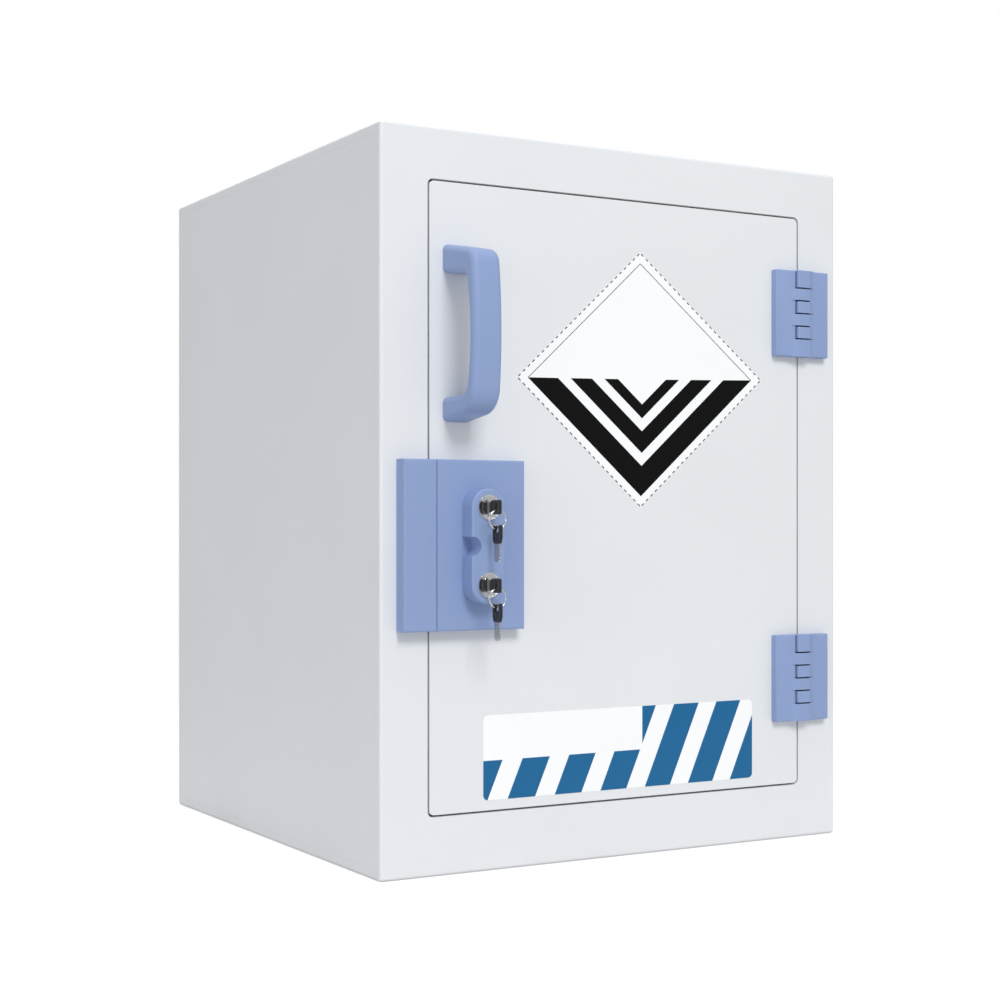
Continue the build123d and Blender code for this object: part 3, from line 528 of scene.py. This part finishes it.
outside = calc(tree, "SQRT", calc(tree, "ADD", *squares))
off_panel = calc(tree, "GREATER_THAN", outside, PANEL_CORNER)
inked = calc(tree, "MULTIPLY", striped, off_panel)
tree.links.new(blend_colors(tree, inked, paper, rgba(STRIPE_BLUE)), shader.inputs["Base Color"])

label = bmesh.new()
outline = rounded_outline(*STRIPE_LABEL["size"], STRIPE_LABEL["corner"])
film(label, [(x + STRIPE_LABEL["middle"][0], z + STRIPE_LABEL["middle"][1]) for x, z in outline])
stripe_label = finish_piece(label, "stripe_label", [striped_film], "door", smooth=False)
print("stripe label", [round(length, 4) for length in STRIPE_LABEL["size"]])

# %% [markdown]
# The diamond label is made the other way, in layers, as it is printed: a white film,
# and on it a layer of black ink a fiftieth of a millimetre thick. Each field of ink
# is a flat polygon, placed between the four corners by two shares that run from 0 to
# 1 along its sides. The print is a plain pattern: a thin frame line and three dark
# chevrons in the lower half.

# %% Diamond label
DIAMOND = [(0.0156, 0.2762), (0.1365, 0.3823), (0.0151, 0.4795), (-0.0990, 0.3756)]   # foot, right, top, left
INK_THICKNESS = 0.00002
MARGIN = 0.0435                    # this and the next two are shares of a side
FRAME_LINE = 0.0036
CHEVRONS = ((0.0, 0.115), (0.165, 0.25), (0.3, 0.355))
white_film = vinyl("white film", FILM_WHITE)[0]
black_ink = vinyl("black ink", (0.002, 0.002, 0.002), 0.5, 0.12)[0]


def on_diamond(u, v):
    """The point at shares u and v of the way along the diamond's two lower sides."""
    foot, right, top, left = (Vector(corner) for corner in DIAMOND)
    return tuple(foot.lerp(right, u).lerp(left.lerp(top, u), v))


def ink(mesh, shares):
    """A field of ink on the diamond, its corners given as shares."""
    front = LABEL_THICKNESS + INK_THICKNESS
    film(mesh, [on_diamond(u, v) for u, v in shares], 1, LABEL_THICKNESS, front)


diamond = bmesh.new()
film(diamond, DIAMOND)
outer, inner = MARGIN, MARGIN + FRAME_LINE
corners = [
    [(edge, edge), (1 - edge, edge), (1 - edge, 1 - edge), (edge, 1 - edge)] for edge in (outer, inner)
]
for number in range(4):
    after = (number + 1) % 4
    ink(diamond, (corners[0][number], corners[0][after], corners[1][after], corners[1][number]))
for near, far in CHEVRONS:
    low, high = inner + near, inner + far
    ink(diamond, [(low, low), (1 - low, low), (1 - high, high), (high, high)])
    ink(diamond, [(low, low), (high, high), (high, 1 - high), (low, 1 - low)])
diamond_label = finish_piece(
    diamond, "diamond_label", [white_film, black_ink], "door", smooth=False
)
print("diamond label with", len(diamond_label.data.polygons), "faces")

# %% [markdown]
# ## Repeats by Geometry Nodes
#
# A row of dashes or a set of screws is one shape placed many times. In Geometry
# Nodes that is Instance on Points. The helper below runs such a tree on a mesh that
# holds the places, keeps the result as a plain mesh and throws the modifier away, so
# that what is left is an ordinary piece. A modifier's inputs are set by each
# socket's identifier, because two sockets may share a name.

# %% Helpers for Geometry Nodes
GEOMETRY = "NodeSocketGeometry"


def places_mesh(name, points, edges=()):
    """A mesh of bare points, or of edges between them."""
    data = bpy.data.meshes.new(name)
    data.from_pydata([tuple(point) for point in points], list(edges), [])
    return data


def grow(name, tree, start, body, values):
    """Run a Geometry Nodes tree on a mesh; returns the result as a plain piece on a body."""
    carrier = add_object(name + " source", start)
    modifier = carrier.modifiers.new(name, "NODES")
    modifier.node_group = tree
    for item in tree.interface.items_tree:
        if item.in_out == "INPUT" and item.name in values:
            modifier[item.identifier] = values[item.name]
    data = bpy.data.meshes.new_from_object(carrier.evaluated_get(bpy.context.evaluated_depsgraph_get()))
    bpy.data.objects.remove(carrier)
    data.name = name
    piece = add_object(name, data)
    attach(piece, body)
    print(name, "has", len(data.polygons), "faces")
    return piece


print("geometry helpers ready")

# %% [markdown]
# The dashes that mark where the film was cut follow the diamond's four sides. Each
# side becomes a curve, is divided at an even pitch, and gets a small flat bar at
# every point, turned along the curve's tangent.

# %% Tree: dashes along edges
dash_tree, given, result = new_group(
    "dashes along edges", "GeometryNodeTree",
    {"Geometry": (GEOMETRY, None), "Pitch": (FLOAT, 0.006), "Length": (FLOAT, 0.003),
     "Width": (FLOAT, 0.0008), "Thickness": (FLOAT, 0.00002), "Material": ("NodeSocketMaterial", None)},
    {"Geometry": GEOMETRY},
)
lines = add_node(dash_tree, "GeometryNodeMeshToCurve", Mesh=given["Geometry"])
spaced = add_node(dash_tree, "GeometryNodeResampleCurve", {"mode": "LENGTH"}, Curve=lines.outputs[0])
dash_tree.links.new(given["Pitch"], spaced.inputs["Length"])
along = add_node(dash_tree, "GeometryNodeInputTangent").outputs[0]
facing = add_node(dash_tree, "FunctionNodeAlignRotationToVector", {"axis": "X"}, Vector=along)
bar_size = add_node(
    dash_tree, "ShaderNodeCombineXYZ", X=given["Length"], Y=given["Thickness"], Z=given["Width"]
)
bar = add_node(dash_tree, "GeometryNodeMeshCube", Size=bar_size.outputs[0])
dashes = add_node(
    dash_tree, "GeometryNodeInstanceOnPoints", Points=spaced.outputs[0], Instance=bar.outputs[0],
    Rotation=facing.outputs[0],
)
solid = add_node(dash_tree, "GeometryNodeRealizeInstances", Geometry=dashes.outputs[0])
inked_dashes = add_node(
    dash_tree, "GeometryNodeSetMaterial", Geometry=solid.outputs[0], Material=given["Material"]
)
dash_tree.links.new(inked_dashes.outputs[0], result.inputs[0])
print(dash_tree.name, "has", len(dash_tree.nodes), "nodes")

# %% Dashes round the diamond
DASH_WIDTH = 0.0008
DASH_INSET = 0.6 * DASH_WIDTH      # from the film's edge to the middle of a dash
DASH_SHARE = 0.5                   # a dash's length as a share of the pitch
PITCH_SHARE = 0.99                 # keeps the last dash of a side when lengths are rounded
DASHES_A_SIDE = 27
sides = []
for number in range(4):
    start, end = Vector(DIAMOND[number]), Vector(DIAMOND[(number + 1) % 4])
    along_side = (end - start).normalized()
    inward = Vector((-along_side.y, along_side.x)) * DASH_INSET
    pitch = (end - start).length / DASHES_A_SIDE
    for spot in (start + along_side * pitch / 2, end - along_side * pitch / 2):
        x, z = spot + inward
        sides.append((x, FACE_Y - LABEL_THICKNESS - INK_THICKNESS / 2, z))
side_lines = places_mesh("diamond sides", sides, [(2 * number, 2 * number + 1) for number in range(4)])
grow(
    "diamond_dashes", dash_tree, side_lines, "door",
    {"Pitch": pitch * PITCH_SHARE, "Length": pitch * DASH_SHARE, "Width": DASH_WIDTH,
     "Thickness": INK_THICKNESS, "Material": black_ink},
)

# %% [markdown]
# ## Screws
#
# The screws are put in from inside, so acid fumes can't reach them from the front.
# They show when the door is open. Each is a pan head with a cross recess on a plain
# shank. The head and shank are one outline turned round an axis, which is quicker
# and cleaner than joining cylinders, and the recess is cut out of it by a boolean.

# %% One screw
HEAD_RADIUS = 0.004
HEAD_HEIGHT = 0.0024
HEAD_WALL = 0.42                   # the head's upright wall, as a share of its height
DOME_STEPS = 6
SCREW_SEGMENTS = 28
RECESS_SIZE = (1.15 * HEAD_RADIUS, 0.26 * HEAD_RADIUS, 1.2 * HEAD_HEIGHT)
RECESS_MIDDLE = 0.98 * HEAD_HEIGHT
RECESS_FOOT = 0.5                  # the recess's length at its foot, as a share of its mouth's


def turned(mesh, outline, segments):
    """Turn an outline of (radius, height) points round the Z axis into a closed solid."""
    rings = []
    for radius, height in outline:
        if radius == 0:
            rings.append([mesh.verts.new((0, 0, height))])
            continue
        angles = [tau * step / segments for step in range(segments)]
        rings.append([mesh.verts.new((radius * cos(angle), radius * sin(angle), height)) for angle in angles])
    for first, second in zip(rings, rings[1:]):
        for step in range(segments):
            after = (step + 1) % segments
            corners = [first[step % len(first)], first[after % len(first)],
                       second[after % len(second)], second[step % len(second)]]
            mesh.faces.new(list(dict.fromkeys(corners)))


def plain_object(name, mesh):
    """A bmesh as a free object for a boolean, which removes it afterwards."""
    return add_object(name, mesh_data(name, mesh))


def carved(body, tools, operation="DIFFERENCE"):
    """Cut the tools out of a body, or join them to it, by booleans; returns the new mesh."""
    for tool in tools:
        cut = body.modifiers.new("cut", "BOOLEAN")
        cut.object = tool
        cut.operation = operation
        cut.solver = "EXACT"
    data = bpy.data.meshes.new_from_object(body.evaluated_get(bpy.context.evaluated_depsgraph_get()))
    for used in (body, *tools):
        bpy.data.objects.remove(used)
    return data


def screw_mesh(shank_radius, shank_length):
    """A pan-head screw along Z: the head's seat is at zero and the shank points down."""
    dome = []
    for step in range(DOME_STEPS + 1):
        angle = pi / 2 * step / DOME_STEPS
        dome.append((HEAD_RADIUS * sin(angle), HEAD_HEIGHT * (HEAD_WALL + (1 - HEAD_WALL) * cos(angle))))
    tip = shank_length - shank_radius
    outline = dome + [(HEAD_RADIUS, 0), (shank_radius, 0), (shank_radius, -tip), (0, -shank_length)]
    screw = bmesh.new()
    turned(screw, outline, SCREW_SEGMENTS)
    cutters = []
    for turn in (0, pi / 2):
        slot = bmesh.new()
        bmesh.ops.create_cube(slot, size=1)
        bmesh.ops.scale(slot, vec=RECESS_SIZE, verts=slot.verts)
        bmesh.ops.translate(slot, vec=(0, 0, RECESS_MIDDLE), verts=slot.verts)
        for corner in [vert for vert in slot.verts if vert.co.z < HEAD_HEIGHT]:
            corner.co.x *= RECESS_FOOT
        bmesh.ops.rotate(slot, matrix=Matrix.Rotation(turn, 3, "Z"), verts=slot.verts)
        cutters.append(plain_object("recess cutter", slot))
    data = carved(plain_object("screw blank", screw), cutters)
    data.name = "screw"
    shade(data, 40)
    return data


print("one screw has", len(screw_mesh(0.002, 0.03).polygons), "faces")

# %% [markdown]
# A tree sets one screw at every point that it is given. No two screws stop with
# their recess at the same angle, so each gets a random turn. The random numbers come
# from a fixed seed, and the same script always gives the same cabinet.

# %% Tree: screws on points
screw_tree, given, result = new_group(
    "screws on points", "GeometryNodeTree",
    {"Geometry": (GEOMETRY, None), "Screw": ("NodeSocketObject", None), "Seed": ("NodeSocketInt", 1),
     "Material": ("NodeSocketMaterial", None)},
    {"Geometry": GEOMETRY},
)
one = add_node(screw_tree, "GeometryNodeObjectInfo", {"transform_space": "ORIGINAL"}, Object=given["Screw"])
turns = add_node(
    screw_tree, "FunctionNodeRandomValue", {"data_type": "FLOAT"}, i2=0.0, i3=pi / 2, Seed=given["Seed"]
)
to_back = add_node(screw_tree, "ShaderNodeCombineXYZ", X=-pi / 2)
about = add_node(screw_tree, "FunctionNodeEulerToRotation", Euler=to_back.outputs[0])
own_turn = add_node(screw_tree, "ShaderNodeCombineXYZ", Z=turns.outputs[1])
own = add_node(screw_tree, "FunctionNodeEulerToRotation", Euler=own_turn.outputs[0])
aimed = add_node(
    screw_tree, "FunctionNodeRotateRotation", {"rotation_space": "LOCAL"},
    i0=about.outputs[0], i1=own.outputs[0],
)
set_screws = add_node(
    screw_tree, "GeometryNodeInstanceOnPoints", Points=given["Geometry"], Instance=one.outputs["Geometry"],
    Rotation=aimed.outputs[0],
)
solid = add_node(screw_tree, "GeometryNodeRealizeInstances", Geometry=set_screws.outputs[0])
plated = add_node(
    screw_tree, "GeometryNodeSetMaterial", Geometry=solid.outputs[0], Material=given["Material"]
)
screw_tree.links.new(plated.outputs[0], result.inputs[0])
print(screw_tree.name, "has", len(screw_tree.nodes), "nodes")

# %% Screws in the places of the CAD ones
HANDLE_SHANK = 0.0025              # radius of the shank of a handle screw
SHANK = 0.002                      # radius of every other shank
FIRST_SEED = 3
screw_nodes = [name for name in sorted(nodes) if name.endswith("_screws")]
for seed, node in enumerate(screw_nodes, FIRST_SEED):
    boxes = solids(node)
    seats = [((low.x + high.x) / 2, high.y - HEAD_HEIGHT, (low.z + high.z) / 2) for low, high in boxes]
    low, high = boxes[0]
    shank_radius = HANDLE_SHANK if "handle" in node else SHANK
    pattern = add_object("screw pattern", screw_mesh(shank_radius, high.y - HEAD_HEIGHT - low.y))
    piece = grow(
        node + "_detailed", screw_tree, places_mesh("seats", seats), node_body[node],
        {"Screw": pattern, "Seed": seed, "Material": zinc},
    )
    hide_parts(node)
    bpy.data.objects.remove(pattern)

# %% [markdown]
# ## Split key rings
#
# A key ring is one flattened wire wound twice, so that a key can be worked on between
# the coils. The coils lie side by side, and over a short stretch the wire steps from
# one coil to the next, just where its two ends stop. The path is an angle that runs
# almost twice round, and a smooth step moves the wire across. The section is an oval
# swept along that path, and each end shrinks over its last two sections to a rounded
# tip.

# %% Two split rings
RING_RADIUS = 0.0069
WIRE_ACROSS = 0.00052      # half the wire's width, along the ring's radius
WIRE_THICK = 0.00029       # half its thickness, along the ring's axis
STEP_ANGLE = radians(13)   # half the stretch where the wire changes coil
COIL_OFFSET = 1.02 * WIRE_THICK      # from the ring's middle plane to the middle of a coil
END_SIZES = (0.55, 0.85, 1.0)        # the wire's size at its end, and one and two steps from it
SWEEP_STEPS = 160
SECTION_SIDES = 14


def split_ring(center):
    """A two-turn ring that lies in the XZ plane around 'center'."""
    mesh = bmesh.new()
    rings = []
    for step in range(SWEEP_STEPS + 1):
        angle = STEP_ANGLE + (2 * tau - 2 * STEP_ANGLE) * step / SWEEP_STEPS
        across = max(-1.0, min(1.0, (angle - tau) / STEP_ANGLE))
        shift = 0.5 * across * (3 - across * across) * COIL_OFFSET
        size = END_SIZES[min(step, SWEEP_STEPS - step, 2)]
        outward = Vector((cos(angle), 0, sin(angle)))
        points = []
        for side in range(SECTION_SIDES):
            turn = tau * side / SECTION_SIDES
            reach = RING_RADIUS + size * WIRE_ACROSS * cos(turn)
            sideways = shift + size * WIRE_THICK * sin(turn)
            points.append(mesh.verts.new(center + outward * reach + Vector((0, sideways, 0))))
        rings.append(points)
    for first, second in zip(rings, rings[1:]):
        for side in range(SECTION_SIDES):
            after = (side + 1) % SECTION_SIDES
            mesh.faces.new((first[side], second[side], second[after], first[after]))
    mesh.faces.new(rings[0])
    mesh.faces.new(reversed(rings[-1]))
    return mesh


for place in ("upper", "lower"):
    node = f"{place}_key_ring"
    ring = finish_piece(split_ring(middle(node)), f"{place}_split_ring", [chrome], node_body[node])
    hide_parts(node)
    print(ring.name, "has", len(ring.data.polygons), "faces")

# %% [markdown]
# ## Moulded hinge leaves
#
# A block hinge is two moulded leaves whose knuckles alternate along one pin. In the
# real moulding each knuckle has a flat front with soft shoulders and runs out onto its
# own leaf in a shallow ramp, so the joint between knuckle and leaf hardly shows, while
# the gap to the other leaf does. The CAD pin comes through the flats of its knuckles,
# so these leaves and a slimmer pin take its place in the picture. A knuckle is a
# profile seen along the pin, drawn as steps sideways and forward of the axis, and the
# plate and its knuckles are joined by booleans into one closed body.

# %% Leaves and pins
LEAF_THICKNESS = 0.007
LEAF_ROUND = 0.0012
KNUCKLE_RADIUS = 0.0068
KNUCKLE_SIDE_GAP = 0.0009            # from a knuckle to the other leaf's plate
KNUCKLE_TALL = (0.0148, 0.0106, 0.0106, 0.0106, 0.0106, 0.0148)     # from the top down
KNUCKLE_GAP = 0.0012                 # between two knuckles
SHOULDER = [(0.0054, 0.0024), (0.0060, 0.00228), (0.0065, 0.00195)]  # aside and ahead of the axis
RAMP = [(0.00695, 0.00142), (0.0126, -0.00035), (0.009, -0.001), (0.009, -0.00715), (0.0, -0.00715)]
BARREL_DEGREES = range(-13, 91, 8)   # round the back of the barrel
PIN_RADIUS = 0.0015
PIN_TIP_RADIUS = 0.8 * PIN_RADIUS
PIN_CYLINDER = 0.99                  # the share of its length that is at full radius
PIN_SEGMENTS = 24


def block(low, high):
    """A bmesh box between two corners."""
    mesh = bmesh.new()
    bmesh.ops.create_cube(mesh, size=1)
    bmesh.ops.scale(mesh, vec=high - low, verts=mesh.verts)
    bmesh.ops.translate(mesh, vec=(low + high) / 2, verts=mesh.verts)
    return mesh


def prism(outline, bottom, top):
    """A bmesh column: an outline of (x, y) points between two heights."""
    mesh = bmesh.new()
    lower = [mesh.verts.new((x, y, bottom)) for x, y in outline]
    upper = [mesh.verts.new((x, y, top)) for x, y in outline]
    mesh.faces.new(lower)
    mesh.faces.new(upper)
    for index in range(len(outline)):
        after = (index + 1) % len(outline)
        mesh.faces.new((lower[index], lower[after], upper[after], upper[index]))
    return mesh


def knuckle_outline(axis, side):
    """The knuckle's profile: shoulders and ramp on its own side, the barrel round the back."""
    angles = [radians(degrees) for degrees in BARREL_DEGREES]
    barrel = [(-KNUCKLE_RADIUS * cos(angle), -KNUCKLE_RADIUS * sin(angle)) for angle in angles]
    steps = SHOULDER + RAMP + barrel[::-1] + [(-aside, ahead) for aside, ahead in reversed(SHOULDER)]
    return [(axis.x + side * aside, axis.y - ahead) for aside, ahead in steps]


def edges_at(mesh, axis, value):
    """The edges of a bmesh that lie wholly at one value of an axis: 0 for x, 1 for y, 2 for z."""
    return [edge for edge in mesh.edges if all(abs(vert.co[axis] - value) < SAME_SPOT for vert in edge.verts)]


def hinge_leaf(node, axis, side, first):
    """One leaf: 'side' is -1 for the door's, 'first' is 0 where it holds the top knuckle."""
    low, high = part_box(node)
    near = axis.x + side * (KNUCKLE_RADIUS + KNUCKLE_SIDE_GAP)
    far = low.x if side < 0 else high.x
    front = high.y - LEAF_THICKNESS
    plate = block(Vector((min(near, far), front, low.z)), Vector((max(near, far), high.y, high.z)))
    hidden = edges_at(plate, 0, near)
    level = edges_at(plate, 2, low.z) + edges_at(plate, 2, high.z)
    rim = [edge for edge in edges_at(plate, 1, front) if edge not in hidden]
    rim += [edge for edge in edges_at(plate, 0, far) if edge in level]
    bmesh.ops.bevel(plate, geom=rim, offset=LEAF_ROUND, segments=4, profile=0.5, affect="EDGES")
    knuckles = []
    top = high.z
    for number, tall in enumerate(KNUCKLE_TALL):
        if number % 2 == first:
            upper = top - (KNUCKLE_GAP / 2 if number else 0)
            lower = top - tall + (KNUCKLE_GAP / 2 if number < len(KNUCKLE_TALL) - 1 else 0)
            knuckles.append(plain_object("knuckle", prism(knuckle_outline(axis, side), lower, upper)))
        top -= tall
    mesh = bmesh.new()
    mesh.from_mesh(carved(plain_object("plate", plate), knuckles, "UNION"))
    return mesh


for place in ("upper", "lower"):
    pin_node = f"hinge_{place}_pin"
    axis = middle(pin_node)
    for leaf, side, first in (("frame", 1, 0), ("door", -1, 1)):
        node = f"hinge_{place}_{leaf}_leaf"
        mesh = hinge_leaf(node, axis, side, first)
        name = f"moulded_{leaf}_leaf_{place}"
        piece = finish_piece(mesh, name, [blue_moulding], node_body[node])
        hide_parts(node)
        print(piece.name, "has", len(piece.data.polygons), "faces")
    low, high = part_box(pin_node)
    half = (high.z - low.z) / 2
    upper_half = [(0, half), (PIN_TIP_RADIUS, half), (PIN_RADIUS, half * PIN_CYLINDER)]
    lower_half = [(radius, -height) for radius, height in reversed(upper_half)]
    slim = bmesh.new()
    turned(slim, upper_half + lower_half, PIN_SEGMENTS)
    bmesh.ops.translate(slim, vec=axis, verts=slim.verts)
    pin = finish_piece(slim, f"slim_pin_{place}", [black_moulding], node_body[pin_node])
    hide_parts(pin_node)

# %% [markdown]
# ## The studio
#
# The camera stands to the left of the front, level with the middle of the cabinet,
# and looks straight ahead, so upright edges stay upright. The vertical shift centres
# the cabinet in the picture without tilting the camera.

# %% Camera
CAMERA_PLACE = (-0.799, -1.406, 0.263)
CAMERA_HEADING = -29.92            # degrees from straight at the front
CAMERA_LENS = 64.97                # focal length in millimetres, for a sensor 36 mm wide
CAMERA_SHIFT = 0.0241              # moves the picture upright, as a share of its width

camera_data = bpy.data.cameras.new("studio camera")
camera_data.lens = CAMERA_LENS
camera_data.sensor_width = 36.0
camera_data.shift_y = CAMERA_SHIFT
camera_data.clip_start = 0.01
camera = add_object("studio camera", camera_data)
camera.location = CAMERA_PLACE
camera.rotation_euler = (pi / 2, 0, radians(CAMERA_HEADING))
bpy.context.scene.camera = camera
bpy.context.scene.view_settings.view_transform = "Standard"   # white stays white, as in a catalogue picture
print("camera", tuple(camera.location), "lens", camera_data.lens)

# %% [markdown]
# The floor is a pale disc that lies under the cabinet and fades out at its rim, so no
# horizon shows. From below it is clear, so it doesn't hide the underside. The light
# comes from an even sky and four large area lights: large lights give soft shadows,
# as the soft boxes of a product studio do. To the camera the sky is plain white and
# the floor glows a little. Light Path nodes keep both apart from the light that the
# sky and the floor shed on the cabinet.

# %% Floor
FLOOR_RADIUS = 1.4
FLOOR_DROP = 0.0002                # keeps the floor just clear of the cabinet's underside
FLOOR_GREY = (0.75, 0.75, 0.75)
FLOOR_GLOW = 0.42
FADE_START, FADE_END = 0.3, 1.3    # distances from the middle, where the fade starts and ends

floor_mesh = bmesh.new()
bmesh.ops.create_circle(floor_mesh, cap_ends=True, segments=96, radius=FLOOR_RADIUS)
bmesh.ops.translate(floor_mesh, verts=floor_mesh.verts, vec=(0, 0, -FLOOR_DROP))
floor_data = bpy.data.meshes.new("floor")
floor_mesh.to_mesh(floor_data)
floor_mesh.free()
floor = add_object("floor", floor_data)
floor_material, tree, shader = new_material("studio floor")
shader.inputs["Base Color"].default_value = rgba(FLOOR_GREY)
shader.inputs["Roughness"].default_value = 0.85
shader.inputs["Emission Color"].default_value = (1, 1, 1, 1)
seen = add_node(tree, "ShaderNodeLightPath").outputs["Is Camera Ray"]
tree.links.new(calc(tree, "MULTIPLY", seen, FLOOR_GLOW), shader.inputs["Emission Strength"])
place = add_node(tree, "ShaderNodeTexCoord").outputs["Object"]
reach = add_node(tree, "ShaderNodeVectorMath", {"operation": "LENGTH"}, i0=place).outputs["Value"]
fade = map_range(tree, reach, FADE_START, FADE_END, 1.0, 0.0, "SMOOTHSTEP")
above = calc(tree, "SUBTRACT", 1.0, add_node(tree, "ShaderNodeNewGeometry").outputs["Backfacing"])
tree.links.new(calc(tree, "MULTIPLY", fade, above), shader.inputs["Alpha"])
floor_data.materials.append(floor_material)
print("floor radius", FLOOR_RADIUS)

# %% Lights
AIM = Vector((0, -0.1, 0.28))      # the middle of the cabinet, a little to the front
SKY_TINT = (0.95, 0.975, 1.0)
SKY_STRENGTH = 0.545


def soft_box(name, place, size, power, tint=(1, 1, 1)):
    """A rectangular area light that points at the cabinet; its power is in watts."""
    data = bpy.data.lights.new(name, "AREA")
    data.shape = "RECTANGLE"
    data.size, data.size_y = size
    data.energy = power
    data.color = tint
    light = add_object(name, data)
    light.location = place
    light.rotation_euler = (AIM - Vector(place)).to_track_quat("-Z", "Y").to_euler()


soft_box("key", place=(-0.5, -3.3, 2.7), size=(1.3, 1.3), power=78)
soft_box("fill", place=(-2.6, -1.0, 0.7), size=(1.8, 1.6), power=9, tint=(0.94, 0.96, 1.0))
soft_box("top", place=(0.0, 0.1, 2.3), size=(2.2, 2.2), power=13)
soft_box("back", place=(0.9, 2.8, 1.4), size=(1.8, 1.8), power=20)

world = bpy.data.worlds.new("studio sky")
world.use_nodes = True
sky = world.node_tree
sky.nodes.clear()
seen = add_node(sky, "ShaderNodeLightPath").outputs["Is Camera Ray"]
shed = add_node(sky, "ShaderNodeBackground", Color=rgba(SKY_TINT), Strength=SKY_STRENGTH)
plain = add_node(sky, "ShaderNodeBackground", Color=(1, 1, 1, 1), Strength=1.0)
either = add_node(sky, "ShaderNodeMixShader", i0=seen, i1=shed.outputs[0], i2=plain.outputs[0])
add_node(sky, "ShaderNodeOutputWorld", i0=either.outputs[0])
bpy.context.scene.world = world
print("four soft boxes and a sky")
